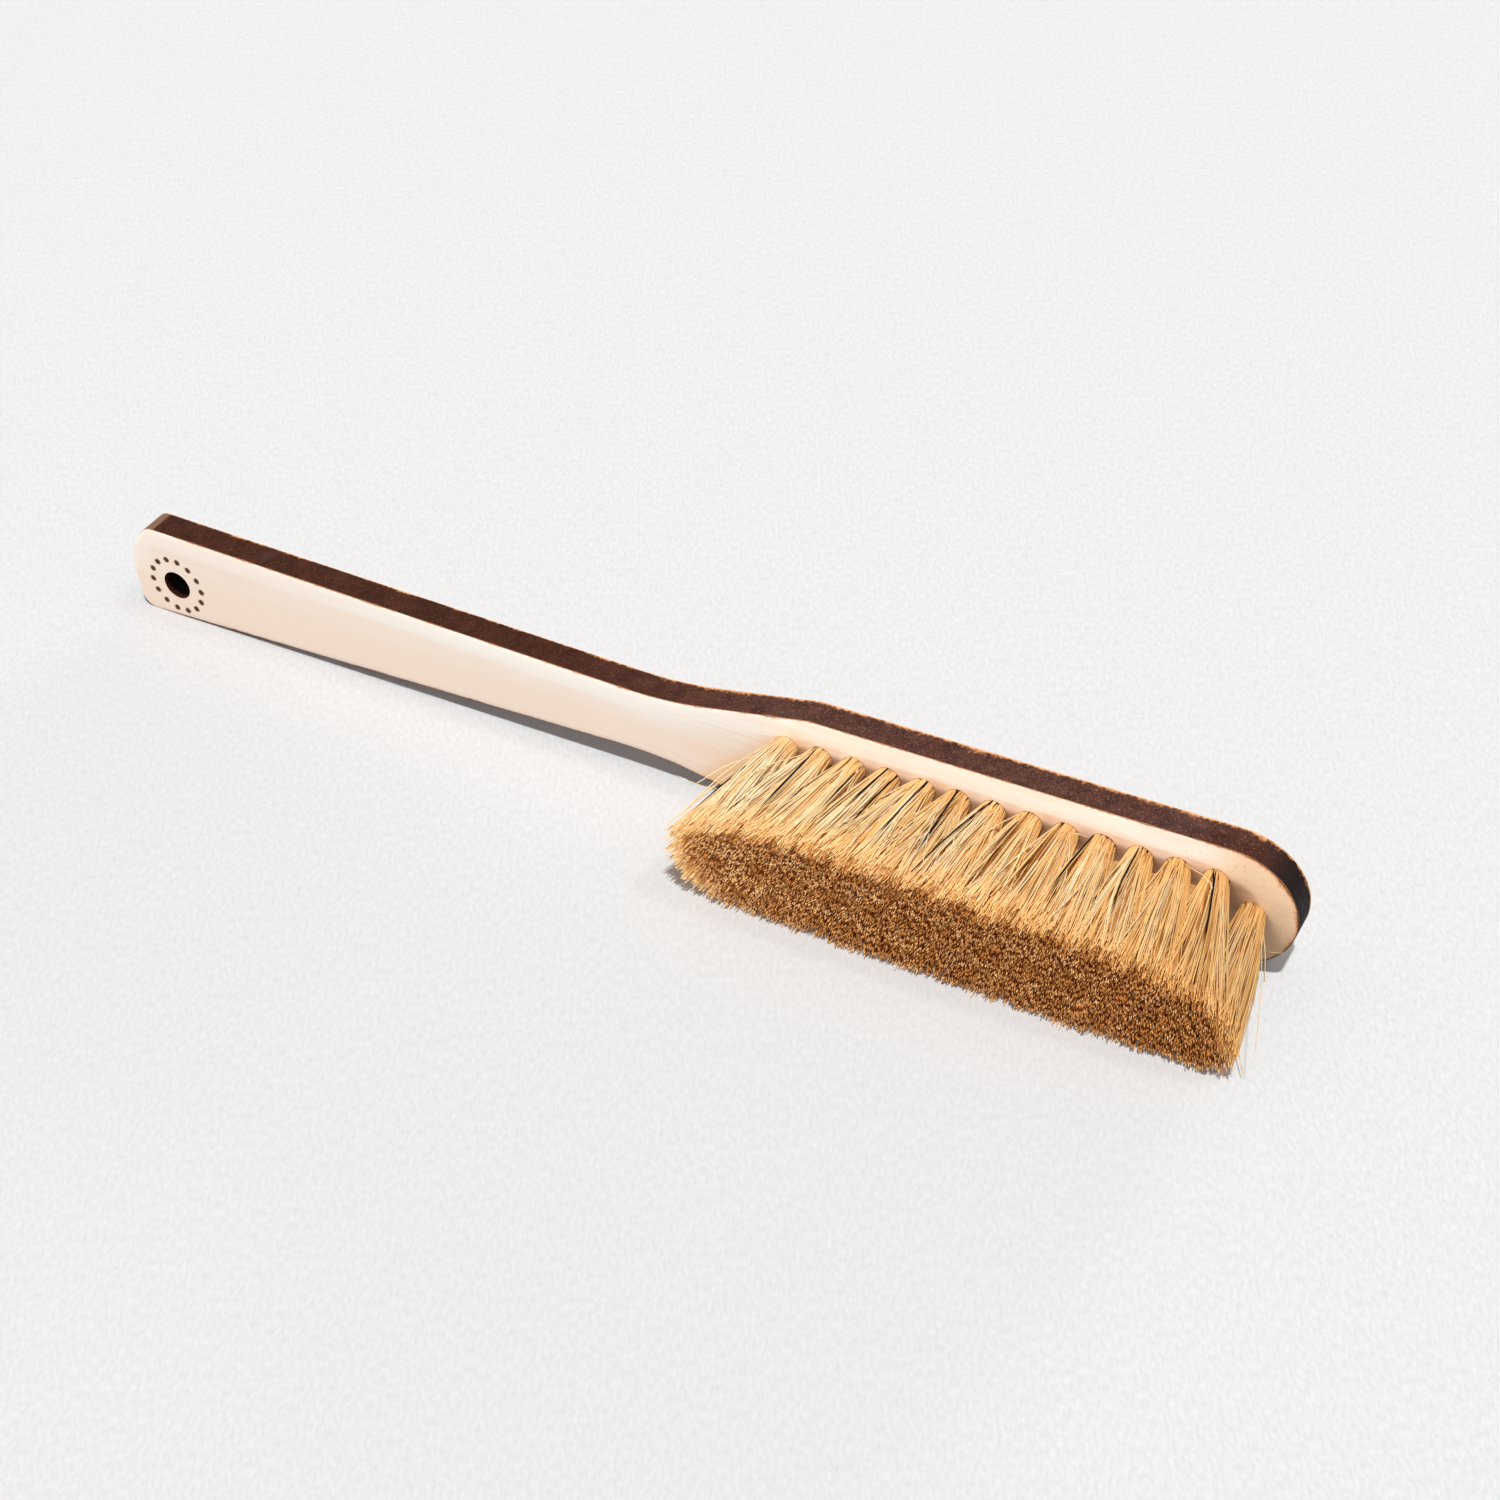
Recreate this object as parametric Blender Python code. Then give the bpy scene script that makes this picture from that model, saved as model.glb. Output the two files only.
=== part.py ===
"""Climbing brush: one wooden handle board carrying three staggered rows of bristle tufts.

Every piece is modelled with the board flat on its back: X runs along the board to the tip of the
head, Y runs across it, and the bristles stand up along Z. One empty then lays the whole brush on
the lower edge of its board, as it rests on a table: the bristles point to -Y, and the board
touches the table at the widest corner of the head and at the handle's end.
"""

import math

import bmesh
import bpy
from mathutils import Matrix, Vector

# Board, with lengths measured from the first tuft of the outer rows
BOARD_THICKNESS = 0.0080
HEAD_HALF_WIDTH = 0.0160
HEAD_CORNER_X_UPPER = 0.0059
HEAD_CORNER_X_LOWER = -0.0006
HEAD_CORNER_RADIUS = 0.0050
NECK_X_UPPER = -0.0323
NECK_X_LOWER = -0.0362
NECK_HALF_WIDTH_UPPER = 0.0085
NECK_HALF_WIDTH_LOWER = 0.0090
NECK_RADIUS = 0.0950
HANDLE_END_X = -0.1952
HANDLE_END_HALF_WIDTH = 0.0134

# Handle's end: a cropped upper corner, a shoulder, a slight bulge and a rounded lower corner
END_CROP_LENGTH = 0.0075
END_CROP_RADIUS = 0.0040
END_SHOULDER_INSET = 0.0022
END_SHOULDER_Y = 0.0079
END_SHOULDER_RADIUS = 0.0150
END_BULGE_Y = -0.0015
END_BULGE_RADIUS = 0.0250
END_LOWER_INSET = 0.0011
END_LOWER_RADIUS = 0.0040

# Easing of the board's sharp edges
FRONT_ROUND_WIDTH = 0.0012
FRONT_ROUND_DEPTH = 0.00015
BACK_ROUND_WIDTH = 0.0006
BACK_ROUND_DEPTH = 0.00015
ROUND_STEPS = 3

# Hanging hole, drilled through the handle a little off its centre line
HANGING_HOLE_RADIUS = 0.0040
HANGING_HOLE_X = -0.1812
HANGING_HOLE_Y = -0.0031

# Tuft holes: two outer rows, a middle row half a pitch further on, and one tuft at the tip
TUFT_PITCH = 0.00875
OUTER_ROW_COUNT = 13
MIDDLE_ROW_COUNT = 12
ROW_OFFSET = 0.0062
TIP_MARGIN = 0.01025
TUFT_HOLE_RADIUS = 0.0031
WOOD_UNDER_HOLE = 0.0020

# Flat wire anchor that each tuft is folded round, at the bottom of its hole
ANCHOR_HEIGHT = 0.0012
ANCHOR_THICKNESS = 0.0005
ANCHOR_EMBED = 0.0010

# Tufts: a packed root in each hole, and thick strands that stand for its bundle of bristles
FIT_GAP = 0.0003
BRISTLE_LENGTH = 0.0330
STRAND_EMBED = 0.0010
INNER_STRANDS = 3
OUTER_STRANDS = 9
INNER_RING_SHARE = 0.4
STRAND_FILL_SHARE = 0.85
TIP_ROW_OFFSET = 0.0096
TIP_DROOP = 0.00175
TIP_LEAN_HANDLE_END = 0.0090
TIP_LEAN_HEAD_END = 0.0050
LEANING_TUFTS = 3.5

# Facets of the round shapes, and the overrun of the cutters
ARC_STEP = math.radians(7.5)
MIN_ARC_STEPS = 4
HANGING_HOLE_SIDES = 32
TUFT_HOLE_SIDES = 16
CUT_OVERRUN = 0.0010

OBJECT_NAME = "climbing_brush"

WOOD_COLOR = (0.86, 0.68, 0.50, 1.0)
SCORCHED_COLOR = (0.065, 0.026, 0.020, 1.0)
BRISTLE_COLOR = (0.66, 0.42, 0.17, 1.0)


def clear_scene():
    """Remove the objects of the file that the script starts in."""
    for obj in list(bpy.data.objects):
        bpy.data.objects.remove(obj, do_unlink=True)


def make_collection(name):
    """Make a collection in the scene."""
    collection = bpy.data.collections.new(name)
    bpy.context.scene.collection.children.link(collection)
    return collection


def make_material(name, color, roughness):
    """Make a plain Principled material."""
    material = bpy.data.materials.new(name)
    material.use_nodes = True
    shader = material.node_tree.nodes["Principled BSDF"]
    shader.inputs["Base Color"].default_value = color
    shader.inputs["Roughness"].default_value = roughness
    shader.inputs["Metallic"].default_value = 0
    return material


def add_object(name, bm, collection, pose, material=None):
    """Turn a bmesh into an object that follows the pose empty."""
    mesh = bpy.data.meshes.new(name)
    bm.to_mesh(mesh)
    bm.free()
    obj = bpy.data.objects.new(name, mesh)
    collection.objects.link(obj)
    obj.parent = pose
    if material:
        mesh.materials.append(material)
    return obj


def make_helper(obj):
    """Mark an object that only cuts or joins another one."""
    obj.hide_render = True
    obj.display_type = "WIRE"
    return obj


def add_boolean(obj, helper, operation):
    """Cut a helper out of an object, or join it on."""
    modifier = obj.modifiers.new(helper.name, "BOOLEAN")
    modifier.operation = operation
    modifier.solver = "EXACT"
    modifier.object = helper


def fillet(before, corner, after, radius):
    """Points of an arc of the given radius that rounds one corner of an outline."""
    to_before = (before - corner).normalized()
    to_after = (after - corner).normalized()
    half_angle = to_before.angle(to_after) / 2
    turn = math.pi - 2 * half_angle
    reach = radius / math.tan(half_angle)
    start = corner + to_before * reach
    centre = corner + (to_before + to_after).normalized() * radius / math.sin(half_angle)
    side = 1 if to_before.cross(to_after) < 0 else -1
    steps = max(MIN_ARC_STEPS, math.ceil(turn / ARC_STEP))
    arm = start - centre
    return [centre + Matrix.Rotation(side * turn * i / steps, 2) @ arm for i in range(steps + 1)]


def head_tip_x():
    """X of the head's tip, one margin past the tip tuft."""
    return tip_tuft_x() + TIP_MARGIN


def tip_tuft_x():
    """X of the single tuft at the tip, one pitch past the outer rows."""
    return OUTER_ROW_COUNT * TUFT_PITCH


def tip_arc():
    """Points of the half circle round the head's tip, from the lower side to the upper side."""
    centre = Vector((head_tip_x() - HEAD_HALF_WIDTH, 0))
    steps = math.ceil(math.pi / ARC_STEP)
    angles = [math.pi * (i / steps - 0.5) for i in range(steps + 1)]
    return [centre + HEAD_HALF_WIDTH * Vector((math.cos(a), math.sin(a))) for a in angles]


def board_outline():
    """Outline of the board, counterclockwise from the lower end of the tip's half circle."""
    crop_x = HANDLE_END_X + END_CROP_LENGTH
    shoulder_x = HANDLE_END_X + END_SHOULDER_INSET
    lower_x = HANDLE_END_X + END_LOWER_INSET
    corners = [
        (Vector((HEAD_CORNER_X_UPPER, HEAD_HALF_WIDTH)), HEAD_CORNER_RADIUS),
        (Vector((NECK_X_UPPER, NECK_HALF_WIDTH_UPPER)), NECK_RADIUS),
        (Vector((crop_x, HANDLE_END_HALF_WIDTH)), END_CROP_RADIUS),
        (Vector((shoulder_x, END_SHOULDER_Y)), END_SHOULDER_RADIUS),
        (Vector((HANDLE_END_X, END_BULGE_Y)), END_BULGE_RADIUS),
        (Vector((lower_x, -HANDLE_END_HALF_WIDTH)), END_LOWER_RADIUS),
        (Vector((NECK_X_LOWER, -NECK_HALF_WIDTH_LOWER)), NECK_RADIUS),
        (Vector((HEAD_CORNER_X_LOWER, -HEAD_HALF_WIDTH)), HEAD_CORNER_RADIUS),
    ]
    tip = tip_arc()
    places = [tip[-1]] + [place for place, _ in corners] + [tip[0]]
    outline = list(tip)
    for i, (place, radius) in enumerate(corners):
        outline += fillet(places[i], place, places[i + 2], radius)
    return outline


def outline_mesh(outline, thickness):
    """Extrude a flat outline through a thickness, from z = 0 up."""
    curve = bpy.data.curves.new("board_outline", "CURVE")
    curve.dimensions = "2D"
    curve.fill_mode = "BOTH"
    curve.extrude = thickness / 2
    spline = curve.splines.new("POLY")
    spline.points.add(len(outline) - 1)
    for point, place in zip(spline.points, outline):
        point.co = (place.x, place.y, 0, 1)
    spline.use_cyclic_u = True
    holder = bpy.data.objects.new("board_outline", curve)
    bpy.context.scene.collection.objects.link(holder)
    graph = bpy.context.evaluated_depsgraph_get()
    mesh = bpy.data.meshes.new_from_object(holder.evaluated_get(graph))
    bpy.data.objects.remove(holder)
    bm = bmesh.new()
    bm.from_mesh(mesh)
    bmesh.ops.remove_doubles(bm, verts=bm.verts, dist=FIT_GAP / 10)
    bmesh.ops.translate(bm, verts=bm.verts, vec=(0, 0, thickness / 2))
    bmesh.ops.recalc_face_normals(bm, faces=bm.faces)
    bpy.data.meshes.remove(mesh)
    return bm


def merged_cap(bm, up):
    """Merge the triangles of the upper or lower cap into one face."""
    cap = [face for face in bm.faces if face.normal.z * up > 0.9]
    return bmesh.ops.dissolve_faces(bm, faces=cap, use_verts=False)["region"][0]


def round_over(bm, face, width, depth):
    """Round the rim of a flat face, as wide and as deep as given, with the face left proud."""
    angles = [math.pi / 2 * i / ROUND_STEPS for i in range(ROUND_STEPS + 1)]
    for low, high in zip(angles, angles[1:]):
        bmesh.ops.inset_region(
            bm,
            faces=[face],
            thickness=width * (math.cos(low) - math.cos(high)),
            depth=depth * (math.sin(high) - math.sin(low)),
            use_even_offset=True,
            use_boundary=True,
        )


def cylinder(bm, radius, low, high, sides, x=0.0, y=0.0):
    """Add a cylinder that stands along Z between two heights."""
    place = Matrix.Translation((x, y, (low + high) / 2))
    bmesh.ops.create_cone(
        bm,
        cap_ends=True,
        segments=sides,
        radius1=radius,
        radius2=radius,
        depth=high - low,
        matrix=place,
    )


def tuft_places():
    """Name, x and y of each tuft, row by row from the handle to the tip."""
    places = []
    for i in range(OUTER_ROW_COUNT):
        places.append((f"tuft_upper_{i + 1:02d}", i * TUFT_PITCH, ROW_OFFSET))
    for i in range(MIDDLE_ROW_COUNT):
        places.append((f"tuft_middle_{i + 1:02d}", (i + 0.5) * TUFT_PITCH, 0.0))
    for i in range(OUTER_ROW_COUNT):
        places.append((f"tuft_lower_{i + 1:02d}", i * TUFT_PITCH, -ROW_OFFSET))
    places.append(("tuft_tip", tip_tuft_x(), 0.0))
    return places


def make_board(parts, cutters, pose):
    """The handle board, with its blind tuft holes and its hanging hole."""
    body_height = BOARD_THICKNESS - FRONT_ROUND_DEPTH - BACK_ROUND_DEPTH
    bm = outline_mesh(board_outline(), body_height)
    bmesh.ops.translate(bm, verts=bm.verts, vec=(0, 0, BACK_ROUND_DEPTH))
    round_over(bm, merged_cap(bm, 1), FRONT_ROUND_WIDTH, FRONT_ROUND_DEPTH)
    round_over(bm, merged_cap(bm, -1), BACK_ROUND_WIDTH, BACK_ROUND_DEPTH)
    for face in bm.faces:
        face.material_index = 1 if abs(face.normal.z) < 0.5 else 0
    board = add_object("handle_board", bm, parts, pose)
    board.data.materials.append(make_material("pale_wood", WOOD_COLOR, 0.55))
    board.data.materials.append(make_material("scorched_edge", SCORCHED_COLOR, 0.7))

    hole = bmesh.new()
    cylinder(
        hole,
        HANGING_HOLE_RADIUS,
        -CUT_OVERRUN,
        BOARD_THICKNESS + CUT_OVERRUN,
        HANGING_HOLE_SIDES,
        HANGING_HOLE_X,
        HANGING_HOLE_Y,
    )
    add_boolean(board, make_helper(add_object("hanging_hole", hole, cutters, pose)), "DIFFERENCE")

    holes = bmesh.new()
    top = BOARD_THICKNESS + CUT_OVERRUN
    for _, x, y in tuft_places():
        cylinder(holes, TUFT_HOLE_RADIUS, WOOD_UNDER_HOLE, top, TUFT_HOLE_SIDES, x, y)
    add_boolean(board, make_helper(add_object("tuft_holes", holes, cutters, pose)), "DIFFERENCE")
    board.data.shade_smooth()
    board.data.set_sharp_from_angle(angle=math.radians(30))
    return board


def add_anchor_wire(bm, plug_floor):
    """Add the flat wire across the bottom of a tuft's hole, from inside its packed root down."""
    reach = TUFT_HOLE_RADIUS - FIT_GAP
    length = 2 * math.sqrt(reach**2 - (ANCHOR_THICKNESS / 2) ** 2)
    high = plug_floor + ANCHOR_EMBED
    low = plug_floor - ANCHOR_HEIGHT
    size = Matrix.Diagonal((length, ANCHOR_THICKNESS, high - low, 1))
    middle = Matrix.Translation((0, 0, (high + low) / 2))
    bmesh.ops.create_cube(bm, size=1, matrix=middle @ size)


def tip_shift(x, y):
    """How far the bristle tips of a tuft stand off its root, along and across the board."""
    reach = LEANING_TUFTS * TUFT_PITCH
    handle_end = max(0, 1 - x / reach) ** 2
    head_end = max(0, 1 - (tip_tuft_x() - x) / reach) ** 2
    along = TIP_LEAN_HEAD_END * head_end - TIP_LEAN_HANDLE_END * handle_end
    across = y * (TIP_ROW_OFFSET / ROW_OFFSET - 1) - TIP_DROOP
    return Vector((along, across))


def strand_ring(reach):
    """Radius of the outer ring of strands within a reach, and the radius of each strand there."""
    half_step = STRAND_FILL_SHARE * math.sin(math.pi / OUTER_STRANDS)
    ring = reach / (1 + half_step)
    return ring, ring * half_step


def root_reach():
    """How far from its axis a tuft's strands may reach where they leave the packed root."""
    flats = (TUFT_HOLE_RADIUS - FIT_GAP) * math.cos(math.pi / TUFT_HOLE_SIDES)
    return flats - FIT_GAP / 2


def tip_reach():
    """How far from its axis a tuft's strands may reach at the tips, clear of the next tuft."""
    across = math.hypot(TUFT_PITCH / 2, TIP_ROW_OFFSET)
    return (min(TUFT_PITCH, across) - FIT_GAP) / 2


def strand_directions():
    """Direction of each strand from the tuft's axis, as a share of the outer ring's radius."""
    half_step = math.pi / OUTER_STRANDS
    angles = [(INNER_RING_SHARE, half_step + math.tau * i / INNER_STRANDS) for i in range(INNER_STRANDS)]
    angles += [(1, math.tau * i / OUTER_STRANDS) for i in range(OUTER_STRANDS)]
    return [share * Vector((math.cos(angle), math.sin(angle))) for share, angle in angles]


def add_strand(bm, root, root_radius, tip, tip_radius):
    """Add one three-sided strand from inside the packed root to the trimmed tips."""
    length = BRISTLE_LENGTH + STRAND_EMBED
    made = bmesh.ops.create_cone(
        bm,
        cap_ends=True,
        segments=3,
        radius1=root_radius,
        radius2=tip_radius,
        depth=length,
        matrix=Matrix.Translation((0, 0, length / 2 - STRAND_EMBED)),
    )
    for vert in made["verts"]:
        shift = root.lerp(tip, vert.co.z / BRISTLE_LENGTH)
        vert.co.x += shift.x
        vert.co.y += shift.y


def make_tuft(name, x, y, parts, cutters, pose, material):
    """One tuft: its packed root fills the hole, folded round its anchor, and carries the strands."""
    floor = WOOD_UNDER_HOLE + FIT_GAP + ANCHOR_HEIGHT - BOARD_THICKNESS
    plug = bmesh.new()
    cylinder(plug, TUFT_HOLE_RADIUS - FIT_GAP, floor, 0, TUFT_HOLE_SIDES)
    tuft = add_object(name, plug, parts, pose, material)

    strands = bmesh.new()
    shift = tip_shift(x, y)
    root_ring, root_radius = strand_ring(root_reach())
    tip_ring, tip_radius = strand_ring(tip_reach())
    for toward in strand_directions():
        add_strand(strands, toward * root_ring, root_radius, shift + toward * tip_ring, tip_radius)
    add_anchor_wire(strands, floor)
    helper = make_helper(add_object(f"{name}_strands", strands, cutters, pose))
    add_boolean(tuft, helper, "UNION")
    for obj in (tuft, helper):
        obj.location = (x, y, BOARD_THICKNESS)
    return tuft


def rest_tilt():
    """Angle that brings the handle's end down to the table with the head's corner."""
    outline = board_outline()
    corner = min(outline, key=lambda place: (place.y, place.x))
    behind = [place for place in outline if place.x < corner.x and place.y < 0]
    return min(math.atan2(place.y - corner.y, corner.x - place.x) for place in behind)


def lay_on_edge(pose, parts):
    """Lay the brush on its lower edge, with the bottom centre of its box at the origin."""
    pose.matrix_world = Matrix.Rotation(-rest_tilt(), 4, "Y") @ Matrix.Rotation(math.pi / 2, 4, "X")
    bpy.context.view_layer.update()
    graph = bpy.context.evaluated_depsgraph_get()
    places = []
    for obj in parts.objects:
        shape = obj.evaluated_get(graph).to_mesh()
        places += [obj.matrix_world @ vert.co for vert in shape.vertices]
    low = [min(place[axis] for place in places) for axis in range(3)]
    high = [max(place[axis] for place in places) for axis in range(3)]
    pose.location = (-(low[0] + high[0]) / 2, -(low[1] + high[1]) / 2, -low[2])


def main():
    """Build the brush."""
    clear_scene()
    parts = make_collection(OBJECT_NAME)
    cutters = make_collection("cutters")
    pose = bpy.data.objects.new("resting_pose", None)
    bpy.context.scene.collection.objects.link(pose)

    make_board(parts, cutters, pose)
    bristle = make_material("bristle", BRISTLE_COLOR, 0.5)
    for name, x, y in tuft_places():
        make_tuft(name, x, y, parts, cutters, pose, bristle)
    lay_on_edge(pose, parts)
    bpy.context.view_layer.update()


main()
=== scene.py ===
"""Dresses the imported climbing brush: a pale wooden handle board with scorched edges, and three
staggered rows of golden bristle tufts, lying on its lower edge on a plain pale floor.
"""

import math

import bmesh
import bpy
import numpy as np
from bpy.props import FloatProperty, FloatVectorProperty, IntProperty, PointerProperty
from bpy.types import Operator, Panel, PropertyGroup
from mathutils import Matrix, Vector, noise


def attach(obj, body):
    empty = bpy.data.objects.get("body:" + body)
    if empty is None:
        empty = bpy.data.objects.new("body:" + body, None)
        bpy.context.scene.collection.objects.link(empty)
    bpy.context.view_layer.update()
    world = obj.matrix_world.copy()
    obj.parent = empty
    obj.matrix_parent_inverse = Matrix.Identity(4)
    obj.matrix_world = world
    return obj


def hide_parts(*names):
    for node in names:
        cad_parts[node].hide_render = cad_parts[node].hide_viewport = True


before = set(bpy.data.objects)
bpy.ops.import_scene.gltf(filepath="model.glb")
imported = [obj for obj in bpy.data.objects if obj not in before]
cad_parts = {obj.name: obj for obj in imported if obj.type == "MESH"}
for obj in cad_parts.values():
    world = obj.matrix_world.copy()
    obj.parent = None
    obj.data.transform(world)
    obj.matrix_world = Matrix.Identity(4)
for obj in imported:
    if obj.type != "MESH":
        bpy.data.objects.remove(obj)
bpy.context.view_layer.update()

bl_info = {
    "name": "Climbing brush",
    "version": (1, 0, 0),
    "blender": (4, 5, 0),
    "location": "3D View > Sidebar > Brush",
    "description": "A long-handled wooden brush with scorched edges and rows of bristle tufts",
    "category": "Add Mesh",
}

# The board is modelled flat on its back, X toward the tip and Z toward the bristles, and then posed
REST_TILT = 0.0142153354
FIRST_TUFT = Vector((0.0354366, 0.0205, 0.0160000))
REST_POSE = (
    Matrix.Translation(FIRST_TUFT)
    @ Matrix.Rotation(-REST_TILT, 4, "Y")
    @ Matrix.Rotation(math.pi / 2, 4, "X")
)
FLOOR_CLEARANCE = 0.0001

# Board outline
HEAD_CORNER_X_UPPER = 0.0059
HEAD_CORNER_X_LOWER = -0.0006
HEAD_CORNER_RADIUS = 0.0050
NECK_X_UPPER = -0.0323
NECK_X_LOWER = -0.0362
NECK_HALF_WIDTH_UPPER = 0.0085
NECK_HALF_WIDTH_LOWER = 0.0090
NECK_RADIUS = 0.0950
END_X = -0.1952
END_HALF_WIDTH = 0.0134
END_CROP_LENGTH = 0.0075
END_CROP_RADIUS = 0.0040
END_SHOULDER_INSET = 0.0022
END_SHOULDER_Y = 0.0079
END_SHOULDER_RADIUS = 0.0150
END_BULGE_Y = -0.0015
END_BULGE_RADIUS = 0.0250
END_LOWER_INSET = 0.0011
END_LOWER_RADIUS = 0.0040
OUTLINE_STEP = 0.0008

# Board profile: eased borders, and a wide strip on the front that is sanded a little down
BAND_WIDTH = 0.0062
BAND_INSETS = (0.0062, 0.0052, 0.0042, 0.0032, 0.0022, 0.0014, 0.0009, 0.0005, 0.00025, 0.0001, 0.0)
BAND_FALL = 0.00030
FRONT_ROUND_WIDTH = 0.0012
FRONT_ROUND_DEPTH = 0.00015
BACK_INSETS = (0.00015, 0.00035, 0.0006, 0.0014, 0.0026, 0.0046)
BACK_ROUND_WIDTH = 0.0006
BACK_ROUND_DEPTH = 0.00015
WALL_STEPS = 10
SPINE_HANDLE_END = -0.1850
CHAR_RELIEF = 0.00003
CHAR_GRAIN = 900
BORDER_WEAR = 0.00008
WEAR_GRAIN = 420
SHARP_ANGLE = math.radians(35)

# Holes
HANGING_HOLE = Vector((-0.1812, -0.0031, 0))
HANGING_HOLE_RADIUS = 0.0040
HOLE_RIM = 0.0001
HOLE_SIDES = 72
TUFT_HOLE_RADIUS = 0.0031
TUFT_HOLE_SIDES = 28
WOOD_UNDER_HOLE = 0.0020
HOLE_SLACK = 1e-5
CUT_OVERRUN = 0.0010
UPRIGHT = 0.9

# Tuft pattern
TUFT_PITCH = 0.00875
OUTER_ROW_COUNT = 13
MIDDLE_ROW_COUNT = 12
ROW_OFFSET = 0.0062
TIP_MARGIN = 0.01025
TIP_ARC_X = 0.1080

# Names of layers, and the order of the board's materials
EDGE_MAP = "edge_map"
FIBRE_TONE = "fibre_tone"
SANDED, CHARRED, BURNT_HOLE, DRILLED = range(4)


class BoardSettings(PropertyGroup):
    """Sizes and colours of the handle board."""

    thickness: FloatProperty(
        name="Thickness", description="Thickness of the board", default=0.0080, unit="LENGTH"
    )
    head_half_width: FloatProperty(
        name="Head half width", description="Half the head's width", default=0.0160, unit="LENGTH"
    )
    wood: FloatVectorProperty(
        name="Wood", description="Colour of the sanded faces", subtype="COLOR",
        default=(0.91, 0.745, 0.62),
    )
    # Partly sanded wood and partly a painted highlight: this paler colour goes on the upper border only
    band_and_highlight: FloatVectorProperty(
        name="Band", description="Colour of the sanded band along the borders", subtype="COLOR",
        default=(0.93, 0.865, 0.785),
    )
    # Tan of the head inside its border: partly the wood's tone, partly painted shade and warm bounce from
    # the tufts
    bare_and_shaded: FloatVectorProperty(
        name="Bare", description="Colour of the head's unsanded wood between the tufts",
        subtype="COLOR", default=(0.775, 0.455, 0.235),
    )
    grain: FloatVectorProperty(
        name="Grain", description="Colour of the darker grain lines", subtype="COLOR",
        default=(0.80, 0.55, 0.38),
    )
    char: FloatVectorProperty(
        name="Char", description="Colour of the scorched edge", subtype="COLOR",
        default=(0.050, 0.0150, 0.0080),
    )
    ash: FloatVectorProperty(
        name="Ash", description="Colour of the scorched edge where it is paler, along the head",
        subtype="COLOR", default=(0.080, 0.030, 0.021),
    )
    fringe: FloatVectorProperty(
        name="Fringe", description="Colour of the scorch's orange fringe", subtype="COLOR",
        default=(0.72, 0.30, 0.11),
    )
    mark_count: IntProperty(
        name="Marks", description="Scorched dots in the ring round the hanging hole", default=14
    )
    mark_ring: FloatProperty(
        name="Mark ring", description="Radius of the ring of dots", default=0.0079, unit="LENGTH"
    )
    mark_radius: FloatProperty(
        name="Mark radius", description="Radius of each scorched dot", default=0.00090, unit="LENGTH"
    )


class TuftSettings(PropertyGroup):
    """Sizes and colours of the bristle tufts."""

    count: IntProperty(name="Fibres", description="Bristles in each tuft", default=460, min=20)
    length: FloatProperty(
        name="Length", description="Bristle length beyond the board", default=0.0330, unit="LENGTH"
    )
    diameter: FloatProperty(
        name="Diameter", description="Mean bristle diameter", default=0.00033, unit="LENGTH"
    )
    pale: FloatVectorProperty(
        name="Pale", description="Colour of the palest bristles", subtype="COLOR",
        default=(1.0, 0.84, 0.56),
    )
    gold: FloatVectorProperty(
        name="Gold", description="Colour of the golden bristles", subtype="COLOR",
        default=(1.0, 0.70, 0.34),
    )
    tan: FloatVectorProperty(
        name="Tan", description="Colour of the brownest bristles", subtype="COLOR",
        default=(0.96, 0.55, 0.19),
    )
    # Colour of the painted shade on fibres within a tuft and at its sides
    deep: FloatVectorProperty(
        name="Deep", description="Colour of the bristles deep between the locks", subtype="COLOR",
        default=(0.32, 0.10, 0.010),
    )
    # Colour of the painted shade on each fibre just below its cut end inside the brush
    tip: FloatVectorProperty(
        name="Tip", description="Colour of the bristles just below their cut ends", subtype="COLOR",
        default=(0.13, 0.027, 0.003),
    )
    cut: FloatVectorProperty(
        name="Cut", description="Colour of the palest cut ends inside the brush", subtype="COLOR",
        default=(1.0, 0.60, 0.27),
    )
    black: FloatVectorProperty(
        name="Black", description="Colour of the few black hairs", subtype="COLOR",
        default=(0.012, 0.008, 0.006),
    )
    seed: IntProperty(name="Seed", description="Seed of the bristles' scatter", default=7)


class StageSettings(PropertyGroup):
    """Floor, lights and camera."""

    floor: FloatVectorProperty(
        name="Floor", description="Colour of the floor", subtype="COLOR",
        default=(0.842, 0.863, 0.869),
    )
    glow: FloatVectorProperty(
        name="Glow", description="Colour of the light that the floor throws back up",
        subtype="COLOR", default=(0.25, 0.25, 0.25),
    )
    background: FloatVectorProperty(
        name="Background", description="Colour that the camera sees past the floor",
        subtype="COLOR", default=(0.88, 0.88, 0.88),
    )
    ambient: FloatProperty(name="Ambient", description="Strength of the even light", default=0.20)
    key: FloatProperty(name="Key", description="Strength of the light overhead", default=2.20)
    fill: FloatProperty(name="Fill", description="Strength of the light in front", default=2.30)
    back: FloatProperty(name="Back", description="Strength of the light above and behind", default=0.26)
    rear: FloatProperty(name="Rear", description="Strength of the light on the board's back", default=2.0)
    lift: FloatProperty(
        name="Lift", description="Strength of the light in the floor's shadows", default=0.22
    )
    lens: FloatProperty(
        name="Lens", description="Focal length in millimetres", default=62.19, unit="CAMERA"
    )


# Node helpers


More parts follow.
